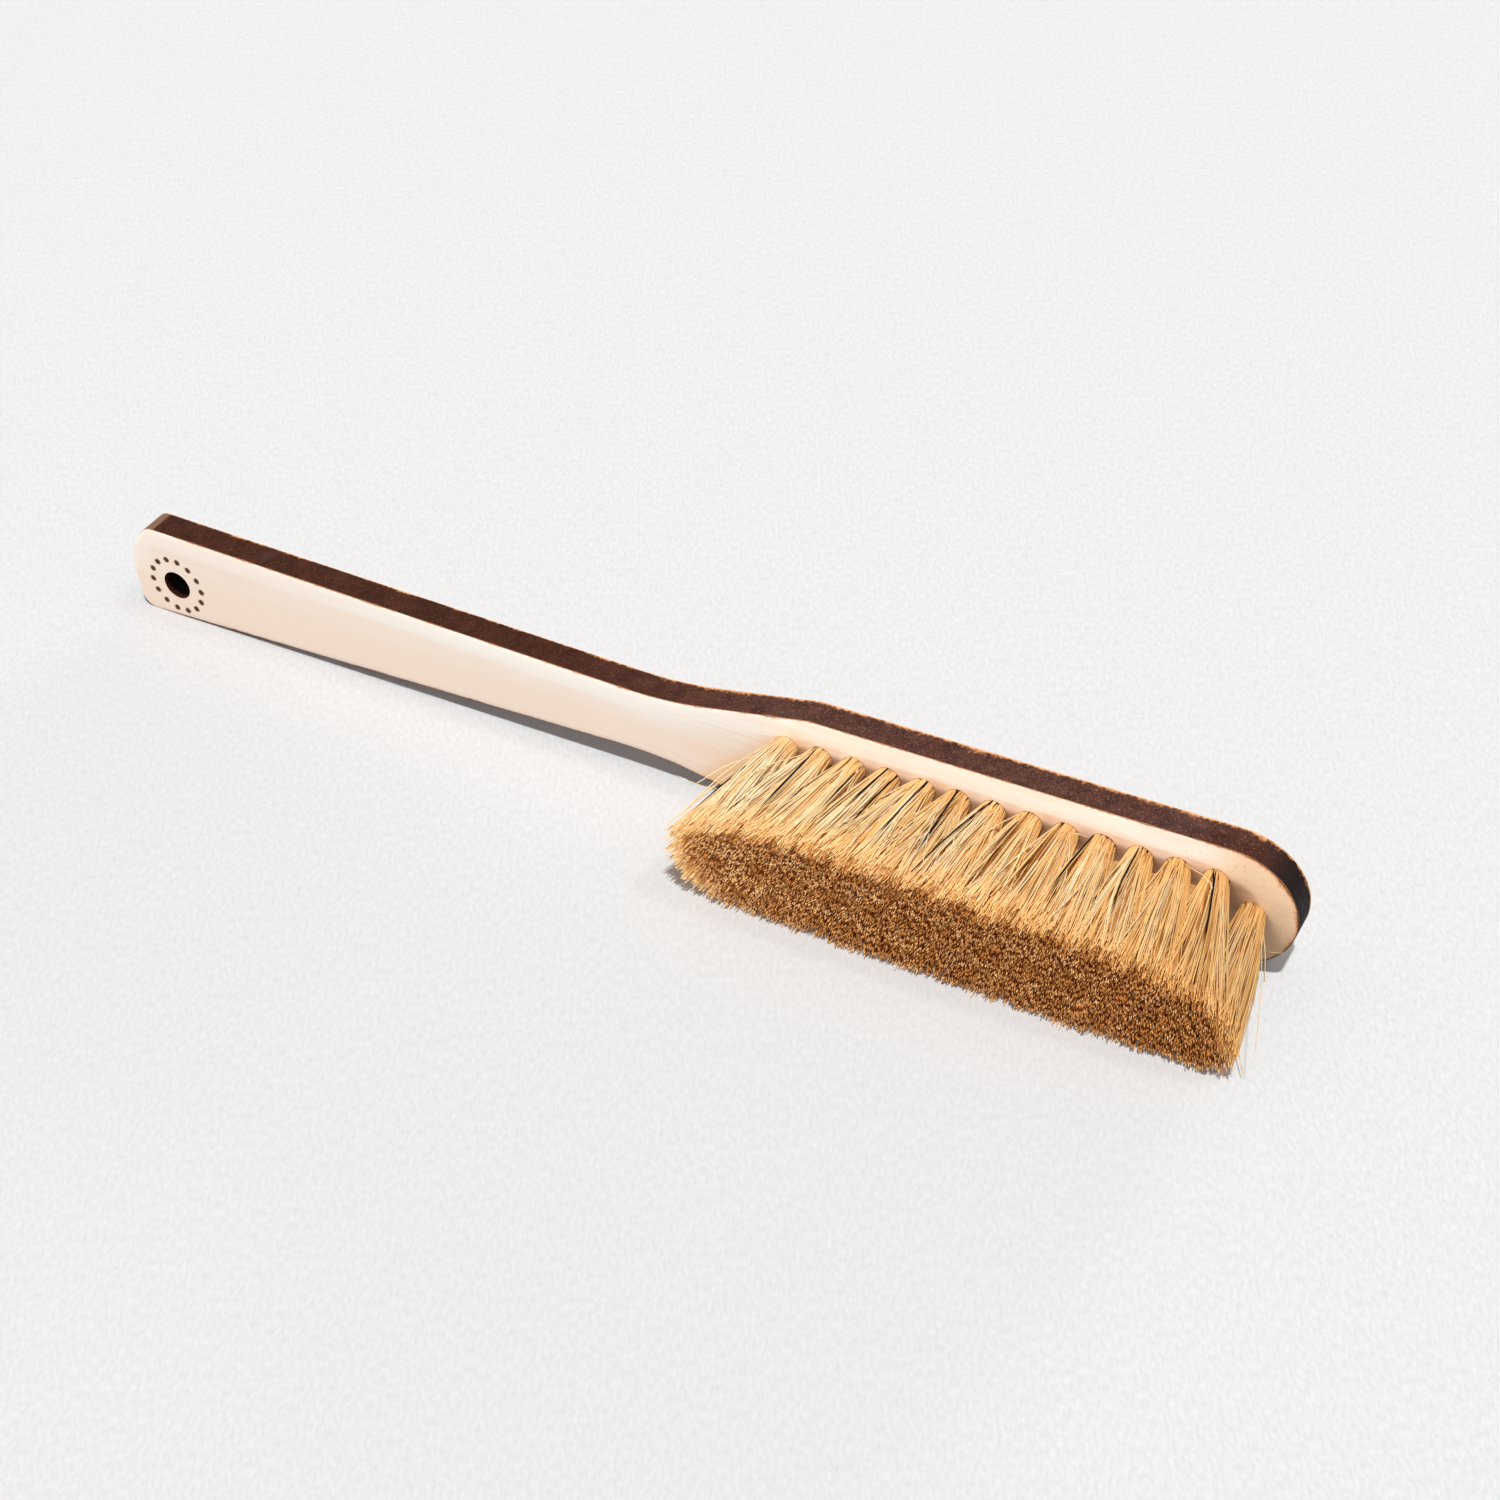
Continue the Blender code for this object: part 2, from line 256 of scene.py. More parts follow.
class Value:
    """An output of a shader node, which sums, products and comparisons can be written with."""

    def __init__(self, socket):
        self.socket = socket

    def __add__(self, other):
        return maths("ADD", self, other)

    def __sub__(self, other):
        return maths("SUBTRACT", self, other)

    def __rsub__(self, other):
        return maths("SUBTRACT", other, self)

    def __mul__(self, other):
        return maths("MULTIPLY", self, other)

    def __truediv__(self, other):
        return maths("DIVIDE", self, other)

    def __pow__(self, other):
        return maths("POWER", self, other)

    def __gt__(self, other):
        return maths("GREATER_THAN", self, other)

    def __lt__(self, other):
        return maths("LESS_THAN", self, other)


def node_for(kind, *values):
    """Add a node to the tree that the values come from."""
    tree = next(value.socket.id_data for value in values if isinstance(value, Value))
    return tree.nodes.new(kind)


def put(value, socket):
    """Link a value to a socket, or set the socket to a plain number or colour."""
    if isinstance(value, Value):
        socket.id_data.links.new(value.socket, socket)
    elif hasattr(socket.default_value, "__len__") and len(value) == 3 and len(socket.default_value) == 4:
        socket.default_value = (*value, 1)
    else:
        socket.default_value = value


def maths(operation, *values, clamp=False):
    """A Math node of the given operation."""
    node = node_for("ShaderNodeMath", *values)
    node.operation = operation
    node.use_clamp = clamp
    for value, socket in zip(values, node.inputs):
        put(value, socket)
    return Value(node.outputs[0])


def distance(across, along):
    """Length of a step with the two given sides."""
    return maths("SQRT", across**2.0 + along**2.0)


def step_down(value, low, high):
    """One at the low value and below, falling smoothly to zero at the high value."""
    node = node_for("ShaderNodeMapRange", value)
    node.interpolation_type = "SMOOTHSTEP"
    for item, socket in zip((value, low, high, 1.0, 0.0), node.inputs):
        put(item, socket)
    return Value(node.outputs[0])


def rise(value, low, high):
    """Zero at the low value and below, rising smoothly to one at the high value."""
    return 1.0 - step_down(value, low, high)


def blend(share, first, second, mode="MIX"):
    """Mix two colours."""
    node = node_for("ShaderNodeMix", share, first, second)
    node.data_type = "RGBA"
    node.blend_type = mode
    for value, index in ((share, 0), (first, 6), (second, 7)):
        put(value, node.inputs[index])
    return Value(node.outputs[2])


def layered(color, *layers):
    """Lay colours over a first one, each by its own share."""
    for share, other in layers:
        color = blend(share, color, other)
    return color


def noise_value(place, scale, detail=2.0, roughness=0.5):
    """A noise texture's value at a place."""
    node = node_for("ShaderNodeTexNoise", place)
    values = {"Vector": place, "Scale": scale, "Detail": detail, "Roughness": roughness}
    for label, value in values.items():
        put(value, node.inputs[label])
    return Value(node.outputs[0])


def stretched(place, scale):
    """A place scaled by unlike amounts along X, Y and Z."""
    node = node_for("ShaderNodeMapping", place)
    put(place, node.inputs["Vector"])
    put(scale, node.inputs["Scale"])
    return Value(node.outputs[0])


def split(vector):
    """The X, Y and Z of a vector."""
    node = node_for("ShaderNodeSeparateXYZ", vector)
    put(vector, node.inputs[0])
    return [Value(output) for output in node.outputs]


def place_in(tree, location, rotation, scale=(1, 1, 1)):
    """Place within a frame that is moved, turned and scaled from the object's own."""
    node = tree.nodes.new("ShaderNodeMapping")
    node.vector_type = "TEXTURE"
    put(Value(tree.nodes.new("ShaderNodeTexCoord").outputs["Object"]), node.inputs["Vector"])
    for label, value in (("Location", location), ("Rotation", rotation), ("Scale", scale)):
        put(value, node.inputs[label])
    return Value(node.outputs[0])


def object_place(tree):
    """Place on the board as it lies flat on its back, in metres."""
    return place_in(tree, FIRST_TUFT, (math.pi / 2, -REST_TILT, 0))


def directly_seen(tree):
    """One for what the camera sees, also in a mirror or through glass."""
    rays = tree.nodes.new("ShaderNodeLightPath").outputs
    seen = maths("MAXIMUM", Value(rays["Is Camera Ray"]), Value(rays["Is Glossy Ray"]))
    return maths("MAXIMUM", seen, Value(rays["Is Transmission Ray"]))


def new_group(name, inputs, outputs):
    """Make a shader node group: its tree, what it is given by label, and its output sockets."""
    tree = bpy.data.node_groups.new(name, "ShaderNodeTree")
    for label, kind, default in inputs:
        socket = tree.interface.new_socket(label, in_out="INPUT", socket_type=f"NodeSocket{kind}")
        socket.default_value = default
    for label, kind in outputs:
        tree.interface.new_socket(label, in_out="OUTPUT", socket_type=f"NodeSocket{kind}")
    given = tree.nodes.new("NodeGroupInput").outputs
    made = tree.nodes.new("NodeGroupOutput").inputs
    return tree, {label: Value(given[label]) for label, _, _ in inputs}, made


def use_group(tree, name, **values):
    """Place a group in a material, and return its outputs by label."""
    node = tree.nodes.new("ShaderNodeGroup")
    node.node_tree = bpy.data.node_groups[name]
    for label, value in values.items():
        put(value, node.inputs[label.replace("_", " ").capitalize()])
    return {output.name: Value(output) for output in node.outputs}


def new_material(name, roughness, specular):
    """Make a material, and return it with its tree and its Principled shader's inputs."""
    material = bpy.data.materials.new(name)
    material.use_nodes = True
    tree = material.node_tree
    shader = tree.nodes["Principled BSDF"].inputs
    shader["Roughness"].default_value = roughness
    shader["Specular IOR Level"].default_value = specular
    return material, tree, shader


def put_bump(height, strength, depth, shader):
    """Give a shader a bump of a height that is a share of the depth."""
    node = node_for("ShaderNodeBump", height)
    for label, value in (("Strength", strength), ("Distance", depth), ("Height", height)):
        put(value, node.inputs[label])
    put(Value(node.outputs[0]), shader["Normal"])


# Colours that a single material or group uses
SPECK = (0.21, 0.13, 0.10)
GREY_ASH = (0.16, 0.12, 0.105)
# Neck's tan by the tufts: partly the wood's tone, partly painted warm bounce from the tufts
NECK_WOOD = (0.90, 0.64, 0.45)
WARM_BOUNCE_BY_FIRST_TUFT = (0.88, 0.52, 0.25)
TIP_WOOD = (0.88, 0.64, 0.43)
WARM_LIGHT_BELOW_TIP = (1.0, 0.66, 0.38)
SHADE_AMONG_TUFTS = (0.42, 0.20, 0.08)
FLECK = (0.60, 0.34, 0.18)
HOLE_RIM_SHADE = (0.20, 0.10, 0.05)
DOT_HALO = (0.50, 0.20, 0.08)
DOT_BURN = (0.030, 0.009, 0.005)
WOOD_BOUNCE = (0.40, 0.24, 0.17)
WALL_NEAR_TIP = (0.066, 0.017, 0.009)
WALL_ON_CROP = (0.27, 0.15, 0.10)
SOOT = (0.014, 0.008, 0.008)
SOOT_SHEEN = (0.070, 0.060, 0.062)
BACK_BORDER = (0.92, 0.55, 0.32)
HOLE_NEAR_FRONT = (0.055, 0.012, 0.007)
HOLE_DEEP_SHADE = (0.005, 0.002, 0.002)
DRILLED_WOOD = (0.55, 0.34, 0.18)
BRISTLE_NEAR_END = (1.0, 0.60, 0.23)
BRISTLE_SHADE_TOWARD_TIP = (0.80, 0.70, 0.56)
BRISTLE_SHADE_BELOW_CUT = (0.66, 0.29, 0.085)
SHADE_BELOW_CUT_BY_FIRST_TUFTS = (0.24, 0.070, 0.012)
DARK_CUT = (0.60, 0.25, 0.068)


# Shared effects


def make_speckle_group():
    """Mottling and fine specks that the scorched surfaces share."""
    tree, given, made = new_group(
        "Scorch mottle",
        [("Color", "Color", (0.1, 0.1, 0.1, 1)), ("Speck amount", "Float", 0.5), ("Ash", "Float", 0.3)],
        [("Color", "Color"), ("Height", "Float")],
    )
    place = object_place(tree)
    broad = noise_value(place, 260, 3, 0.6)
    fine = noise_value(place, 2600, 2, 0.7)
    specks = step_down(fine, 0.68, 0.57) * given["Speck amount"]
    ash = step_down(noise_value(place, 95), 0.68, 0.56) * given["Ash"]
    color = blend(1.0, given["Color"], broad * 1.7 - 0.75 + fine * 1.8, "MULTIPLY")
    put(layered(color, (ash, GREY_ASH), (specks, SPECK)), made["Color"])
    put(broad + fine, made["Height"])


def make_grain_group():
    """Faint grain along the board: long soft bands, fine fibres and a little mottling."""
    tree, given, made = new_group(
        "Wood grain",
        [
            ("Color", "Color", (0.9, 0.7, 0.6, 1)),
            ("Grain color", "Color", (0.8, 0.6, 0.4, 1)),
            ("Amount", "Float", 1.0),
        ],
        [("Color", "Color"), ("Height", "Float")],
    )
    place = object_place(tree)
    x, y, z = split(place)
    joined = node_for("ShaderNodeCombineXYZ", x)
    waving = y + noise_value(stretched(place, (18, 40, 40)), 1) * 0.012
    for value, socket in zip((x, waving, z), joined.inputs):
        put(value, socket)
    bent = Value(joined.outputs[0])
    bands = step_down(noise_value(stretched(bent, (5, 420, 200)), 1, 3, 0.6), 0.62, 0.38)
    lines = step_down(noise_value(stretched(bent, (22, 2600, 1200)), 1, 2, 0.6), 0.66, 0.50)
    pores = step_down(noise_value(stretched(place, (140, 3200, 1600)), 1, 1), 0.76, 0.70)
    total = maths("ADD", bands * 0.26, lines * 0.20 + pores * 0.16, clamp=True) * given["Amount"]
    put(blend(total, given["Color"], given["Grain color"]), made["Color"])
    put(1.0 - total, made["Height"])


def make_fringe_group():
    """How scorched a place is, from its distance to the border that the cut has burnt."""
    tree, given, made = new_group(
        "Scorch fringe",
        [("Distance", "Float", 0.0), ("Width", "Float", 0.0003), ("Ragged", "Float", 0.5)],
        [("Orange", "Float"), ("Dark", "Float")],
    )
    place = object_place(tree)
    teeth = (noise_value(place, 1100, 3, 0.65) - 0.5) * given["Ragged"]
    swells = (noise_value(place, 130) - 0.5) * 1.6
    width = given["Width"] * maths("POWER", 2.0, (swells + teeth) * 3.0)
    put(step_down(given["Distance"], 0.0, width * 2.2), made["Orange"])
    put(step_down(given["Distance"], 0.0, width), made["Dark"])


# Materials: depths of relief
RELIEF_UNIT = 0.001
SCORCH_RELIEF = 0.0001

# Sanded faces: where each colour comes in on the flat board, from its start to where it is complete
UPPER_HALF = (-0.003, 0.003)
BORDER_WAVER = 0.0014
NECK_FROM = (-0.055, -0.030)
NECK_TO = (-0.016, -0.002)
BAND_EDGE = (0.0040, 0.0078)
BAND_NARROWER_ON_NECK = 0.0015
BAND_STRONGER_FROM = (-0.170, -0.080)
SLANT = 1.2
BARE_FROM = (-0.032, -0.004)
BARE_INSET = (0.0053, 0.0072)
BARE_COMPLETE = (-0.012, 0.002)
FIRST_TUFT_FROM = (-0.016, -0.006)
FIRST_TUFT_TO = (-0.002, 0.006)
AMONG_FROM = (-0.001, 0.003)
AMONG_REACH = (0.0066, 0.0084)
TIP_WOOD_FROM = (0.100, 0.112)
PAST_TIP_FROM = (0.104, 0.122)
PAST_TIP_BELOW = (-0.006, 0.012)
FLECKS_FROM = (0.085, 0.110)
GRAIN_FROM = (-0.046, -0.004)
FACE_FRINGE = 0.00020
TIP_FRINGE_MORE = 0.00030
TIP_FRINGE_FROM = (0.100, 0.120)
END_FRINGE_FROM = (-0.194, -0.184)

# Scorched dots, as shares of their radius, and rims of the tuft holes
MARK_EDGE_SHARES = (0.7, 1.05)
HALO_EDGE_SHARES = (0.9, 1.3)
MARK_RAGGED_SHARE = 0.6
FAR_AWAY = 0.1
RIM_EDGE = (0.00003, 0.00022)

# Charred wall, and the hanging hole, darkened by painted shade with its depth from the front
ASH_FROM = (-0.070, 0.010)
TIP_WALL_FROM = (0.096, 0.110)
SOOT_FROM = (0.1105, 0.1215)
SHEEN_BELOW = (-0.004, 0.011)
CROP_TO = (-0.1858, -0.1850)
CROP_ABOVE = 0.006
FRONT_FRINGE = 0.00008
BACK_FRINGE = 0.00018
BACK_FRINGE_MORE = 0.00030
BACK_FRINGE_FROM = (-0.080, 0.010)
HOLE_SHADE_DEPTHS = (0.0006, 0.0020)

# Bristle: tones, ways along a fibre from its root, and places along the head
GOLD_TONE = (0.42, 0.85)
TAN_TONE = (0.10, 0.36)
DEEP_SHADE_TONE = (0.0, 0.14)
CUT_TONE = (0.15, 0.90)
SHADE_BY_ROOT = (0.04, 0.30)
BY_END = (0.72, 0.96)
SHADE_BELOW_CUT = (0.92, 0.97)
AT_CUT = (0.980, 0.990)
SHADE_TOWARD_TIP = (0.060, 0.115)
FIRST_TUFTS_TO = (-0.010, 0.035)


def border_distances(tree, wall):
    """Distance in from the border on the faces, and on the wall from its front and back border."""
    node = tree.nodes.new("ShaderNodeUVMap")
    node.uv_map = EDGE_MAP
    across = split(Value(node.outputs[0]))[1]
    from_front = across * -1.0
    on_face = maths("MAXIMUM", across, from_front - wall)
    return on_face, from_front, across + wall


def wall_height(board):
    """Height of the scorched wall between its two borders."""
    return board.thickness - FRONT_ROUND_DEPTH - BACK_ROUND_DEPTH


def ring_of_marks(place, front, board):
    """Masks of even scorched dots in a ring round the hanging hole, and of their brown halos."""
    radius = board.mark_radius
    x, y, _ = split(place)
    dx, dy = x - HANGING_HOLE.x, y - HANGING_HOLE.y
    turn = maths("ARCTAN2", dy, dx) / math.tau
    part = maths("FRACT", turn * board.mark_count + 0.5)
    beside = (part - 0.5) * (math.tau * board.mark_ring / board.mark_count)
    away = distance(beside, distance(dx, dy) - board.mark_ring)
    ragged = (noise_value(place, 1500) - 0.5) * (radius * MARK_RAGGED_SHARE)
    away = away + ragged + (1.0 - front) * FAR_AWAY
    mark = step_down(away, *(radius * share for share in MARK_EDGE_SHARES))
    return mark, step_down(away, *(radius * share for share in HALO_EDGE_SHARES))


def shaded_hole_rims(x, y):
    """A mask of a thin painted shade round the holes of the outer rows, where the tufts go into the wood.
    """
    part = maths("FRACT", x * (1 / TUFT_PITCH) + 0.5) - 0.5
    reach = distance(part * TUFT_PITCH, maths("ABSOLUTE", y) - ROW_OFFSET)
    rim = step_down(reach, *(TUFT_HOLE_RADIUS + edge for edge in RIM_EDGE))
    return rim * (x > -TUFT_PITCH / 2) * (x < (OUTER_ROW_COUNT - 0.5) * TUFT_PITCH)


def make_face_material(board):
    """Sanded pale wood: a paler strip along the upper border, partly sanding and partly a painted
    highlight; tan wood on the head with painted shade among the tufts, painted warm bounce beside them
    and painted warm light past the tip; scorched borders and marks, and painted shade round the tuft
    holes.
    """
    material, tree, shader = new_material("Sanded wood", 0.5, 0.3)
    on_face, _, _ = border_distances(tree, wall_height(board))
    place = object_place(tree)
    x, y, z = split(place)
    front = z > board.thickness / 2
    upper = rise(y, *UPPER_HALF)
    inset = on_face + (noise_value(place, 90) - 0.5) * BORDER_WAVER

    on_neck = rise(x, *NECK_FROM) * step_down(x, *NECK_TO)
    band_and_highlight_strength = rise(x, *BAND_STRONGER_FROM) * 0.45 + 0.55
    # Painted highlight and sanding: the paler strip goes on the upper side only, where the light falls,
    # and is stronger on the head
    band_and_highlight = step_down(inset - on_neck * BAND_NARROWER_ON_NECK, *BAND_EDGE) * upper * band_and_highlight_strength * front
    slant = x - y * SLANT
    # Tan on the head: partly the wood's tone, partly painted shade and warm bounce from the tufts
    bare_and_shaded = rise(slant, *BARE_FROM) * rise(inset, *BARE_INSET) * front
    # Painted warm bounce from the first tufts on the wood beside them
    warm_bounce_by_first_tuft = rise(slant, *FIRST_TUFT_FROM) * step_down(x, *FIRST_TUFT_TO) * front
    # Painted shade on the wood among the tuft rows
    from_spine = distance(maths("MAXIMUM", x - TIP_ARC_X, 0.0), y)
    shade_among_tufts = step_down(from_spine, *AMONG_REACH) * rise(x, *AMONG_FROM) * front
    # Painted warm light that lightens the tip tuft's shadow past the tip
    warm_light_past_tip = rise(x, *PAST_TIP_FROM) * step_down(y, *PAST_TIP_BELOW)
    flecks = step_down(noise_value(place, 1300, 2, 0.6), 0.30, 0.38) * rise(x, *FLECKS_FROM) * front
    color = layered(
        board.wood,
        (band_and_highlight, board.band_and_highlight),
        (bare_and_shaded, blend(rise(x, *BARE_COMPLETE), NECK_WOOD, board.bare_and_shaded)),
        (warm_bounce_by_first_tuft, WARM_BOUNCE_BY_FIRST_TUFT),
        (rise(x, *TIP_WOOD_FROM) * front, TIP_WOOD),
        (shade_among_tufts * 0.7, SHADE_AMONG_TUFTS),
        (warm_light_past_tip * 0.5, WARM_LIGHT_BELOW_TIP),
        (flecks * 0.5, FLECK),
    )

    on_head = rise(x, *GRAIN_FROM)
    grain = use_group(
        tree, "Wood grain", color=color, grain_color=board.grain, amount=on_head * 0.75 + 0.25
    )
    fringe_width = rise(x, *TIP_FRINGE_FROM) * TIP_FRINGE_MORE + FACE_FRINGE
    fringe_width = fringe_width * rise(x, *END_FRINGE_FROM)
    fringe = use_group(tree, "Scorch fringe", distance=on_face, width=fringe_width, ragged=1.2)
    marks, halos = ring_of_marks(place, front, board)
    color = layered(
        grain["Color"],
        (fringe["Orange"], board.fringe),
        (fringe["Dark"], board.char),
        # Painted shade round the tuft holes
        (shaded_hole_rims(x, y) * front * 0.7, HOLE_RIM_SHADE),
        (halos * 0.7, DOT_HALO),
        (marks, DOT_BURN),
    )
    rays = tree.nodes.new("ShaderNodeLightPath")
    put(blend(Value(rays.outputs["Is Diffuse Ray"]), color, WOOD_BOUNCE), shader["Base Color"])

    slope = maths("SUBTRACT", 1.0, on_face / BAND_WIDTH, clamp=True)
    fall = slope**2.0 * (-BAND_FALL / RELIEF_UNIT) * front * (upper * 0.8 + 0.2)
    put_bump(fall + grain["Height"] * 0.02 - marks * 0.05, 1.0, RELIEF_UNIT, shader)
    return material


def make_wall_material(board):
    """Charred cut edge, dark brown with specks of ash and a ragged orange line at both borders."""
    material, tree, shader = new_material("Charred edge", 0.75, 0.08)
    place = object_place(tree)
    x, y, _ = split(place)
    on_head = rise(x, *ASH_FROM)
    color = layered(board.char, (on_head, board.ash), (rise(x, *TIP_WALL_FROM), WALL_NEAR_TIP))
    mottle = use_group(
        tree, "Scorch mottle", color=color, speck_amount=on_head * 0.55 + 0.20, ash=0.06
    )
    streaks = noise_value(stretched(place, (140, 140, 1500)), 1, 3, 0.6)
    sheen = rise(streaks, 0.44, 0.66) * step_down(y, *SHEEN_BELOW)
    on_crop = step_down(x, *CROP_TO) * (y > CROP_ABOVE)
    _, from_front, from_back = border_distances(tree, wall_height(board))
    front = use_group(tree, "Scorch fringe", distance=from_front, width=FRONT_FRINGE, ragged=1.2)
    back_width = rise(x, *BACK_FRINGE_FROM) * BACK_FRINGE_MORE + BACK_FRINGE
    back = use_group(tree, "Scorch fringe", distance=from_back, width=back_width, ragged=2.2)
    color = layered(
        mottle["Color"],
        (rise(x, *SOOT_FROM), blend(sheen, SOOT, SOOT_SHEEN)),
        (on_crop * 0.75, WALL_ON_CROP),
        (front["Orange"], board.fringe),
        (back["Orange"], board.fringe),
        (back["Dark"], BACK_BORDER),
    )
    put(color, shader["Base Color"])
    put_bump(mottle["Height"], 0.5, SCORCH_RELIEF, shader)
    return material


def make_hole_material(board):
    """Burnt inner wall of the hanging hole, with painted shade that darkens it deeper in."""
    material, tree, shader = new_material("Burnt hole", 0.8, 0.03)
    depth = board.thickness - split(object_place(tree))[2]
    # Painted shade: the burnt wall darkens deeper into the hole
    burnt = blend(rise(depth, *HOLE_SHADE_DEPTHS), HOLE_NEAR_FRONT, HOLE_DEEP_SHADE)
    mottle = use_group(tree, "Scorch mottle", color=burnt, speck_amount=0.0, ash=0.0)
    put(mottle["Color"], shader["Base Color"])
    put_bump(mottle["Height"], 0.4, SCORCH_RELIEF, shader)
    return material


def make_drilled_material(board):
    """Bare wood inside the tuft holes."""
    material, tree, shader = new_material("Drilled wood", 0.7, 0.5)
    grain = use_group(tree, "Wood grain", color=DRILLED_WOOD, grain_color=board.grain, amount=1.0)
    put(grain["Color"], shader["Base Color"])
    return material


def make_bristle_material(tuft):
    """Natural bristle: each fibre has its own tone, with painted shade at the roots, toward the head's
    tip, and below each cut end inside the brush.
    """
    material, tree, shader = new_material("Natural bristle", 0.45, 0.02)
    node = tree.nodes.new("ShaderNodeAttribute")
    node.attribute_name = FIBRE_TONE
    tone, half_way, black = split(Value(node.outputs["Vector"]))
    way = half_way * 2.0
    inside = Value(node.outputs["Alpha"])
    place = object_place(tree)
    x, _, _ = split(place)

    streak = noise_value(stretched(place, (1500, 1500, 110)), 1)
    color = layered(
        tuft.pale,
        (step_down(tone, *GOLD_TONE), tuft.gold),
        (step_down(tone, *TAN_TONE), tuft.tan),
        (rise(streak, 0.48, 0.90), tuft.tan),
        # Painted shade: the lowest tones, given within a tuft and at its sides, turn deep brown
        (step_down(tone, *DEEP_SHADE_TONE), tuft.deep),
        # Painted shade at the roots, where the tufts crowd out of the board
        (step_down(way, *SHADE_BY_ROOT) * 0.62, tuft.tan),
        (rise(way, *BY_END) * 0.56, BRISTLE_NEAR_END),
    )
    # Painted shade toward the head's tip: the fibres there are multiplied darker
    color = blend(rise(x, *SHADE_TOWARD_TIP) * 0.6, color, BRISTLE_SHADE_TOWARD_TIP, "MULTIPLY")

    # Painted shade below each cut end inside the brush, a little lighter at the first tufts
    below = rise(way, *SHADE_BELOW_CUT) * inside
    shade_colour_below_cut = blend(rise(x, *FIRST_TUFTS_TO), SHADE_BELOW_CUT_BY_FIRST_TUFTS, tuft.tip)
    at_end = rise(way, *AT_CUT) * rise(inside, 0.1, 0.6)
    color = layered(
        color,
        (rise(below, 0.0, 0.5), BRISTLE_SHADE_BELOW_CUT),
        (rise(below, 0.35, 1.0), shade_colour_below_cut),
        (at_end, blend(step_down(tone, *CUT_TONE), tuft.cut, DARK_CUT)),
        (black, tuft.black),
    )
    put(color, shader["Base Color"])
    return material


# Objects


def mesh_from(bm, name):
    """Turn a bmesh into a mesh."""
    mesh = bpy.data.meshes.new(name)
    bm.to_mesh(mesh)
    bm.free()
    return mesh


def place_piece(name, data):
    """Add an object to the scene."""
    piece = bpy.data.objects.new(name, data)
    bpy.context.scene.collection.objects.link(piece)
    return piece


def tube_faces(sides, rings):
    """Corners of a closed tube's faces, ring by ring, and then of its two end caps."""
    faces = []
    for k in range(rings - 1):
        low, high = k * sides, (k + 1) * sides
        for a in range(sides):
            b = (a + 1) % sides
            faces.append((low + a, low + b, high + b, high + a))
    end = sides * (rings - 1)
    return faces + [tuple(range(sides))[::-1], tuple(range(end, end + sides))]


# Board


def fillet(before, corner, after, radius, step):
    """Points of an arc of the given radius that rounds one corner of an outline."""
    to_before = (before - corner).normalized()
    to_after = (after - corner).normalized()
    half_angle = to_before.angle(to_after) / 2
    turn = math.pi - 2 * half_angle
    start = corner + to_before * radius / math.tan(half_angle)
    centre = corner + (to_before + to_after).normalized() * radius / math.sin(half_angle)
    side = 1 if to_before.cross(to_after) < 0 else -1
    steps = max(4, math.ceil(turn * radius / step))
    turns = [side * turn * i / steps for i in range(steps + 1)]
    return [centre + Matrix.Rotation(angle, 2) @ (start - centre) for angle in turns]


def board_outline(board):
    """Outline of the board, counterclockwise, with even short steps."""
    half = board.head_half_width
    tip_x = OUTER_ROW_COUNT * TUFT_PITCH + TIP_MARGIN
    centre = Vector((tip_x - half, 0))
    steps = math.ceil(math.pi * half / OUTLINE_STEP)
    angles = [math.pi * (i / steps - 0.5) for i in range(steps + 1)]
    tip = [centre + half * Vector((math.cos(a), math.sin(a))) for a in angles]
    corners = [
        (Vector((HEAD_CORNER_X_UPPER, half)), HEAD_CORNER_RADIUS),
        (Vector((NECK_X_UPPER, NECK_HALF_WIDTH_UPPER)), NECK_RADIUS),
        (Vector((END_X + END_CROP_LENGTH, END_HALF_WIDTH)), END_CROP_RADIUS),
        (Vector((END_X + END_SHOULDER_INSET, END_SHOULDER_Y)), END_SHOULDER_RADIUS),
        (Vector((END_X, END_BULGE_Y)), END_BULGE_RADIUS),
        (Vector((END_X + END_LOWER_INSET, -END_HALF_WIDTH)), END_LOWER_RADIUS),
        (Vector((NECK_X_LOWER, -NECK_HALF_WIDTH_LOWER)), NECK_RADIUS),
        (Vector((HEAD_CORNER_X_LOWER, -half)), HEAD_CORNER_RADIUS),
    ]
    places = [tip[-1]] + [place for place, _ in corners] + [tip[0]]
    rough = list(tip)
    for i, (place, radius) in enumerate(corners):
        rough += fillet(places[i], place, places[i + 2], radius, OUTLINE_STEP)
    even = []
    for here, after in zip(rough, rough[1:] + rough[:1]):
        count = max(1, round((after - here).length / OUTLINE_STEP))
        even += [here.lerp(after, i / count) for i in range(count)]
    return even


def outward(outline):
    """Outward direction at each point of an outline."""
    count = len(outline)
    ways = []
    for i in range(count):
        along = outline[(i + 1) % count] - outline[i - 1]
        ways.append(Vector((along.y, -along.x)).normalized())
    return ways


def inward(outline, board):
    """Direction from each point of an outline to the nearest point of the board's spine."""
    spine_tip = OUTER_ROW_COUNT * TUFT_PITCH + TIP_MARGIN - board.head_half_width
    ways = []
    for place in outline:
        foot = Vector((min(max(place.x, SPINE_HANDLE_END), spine_tip), 0))
        ways.append((foot - place).normalized())
    return ways


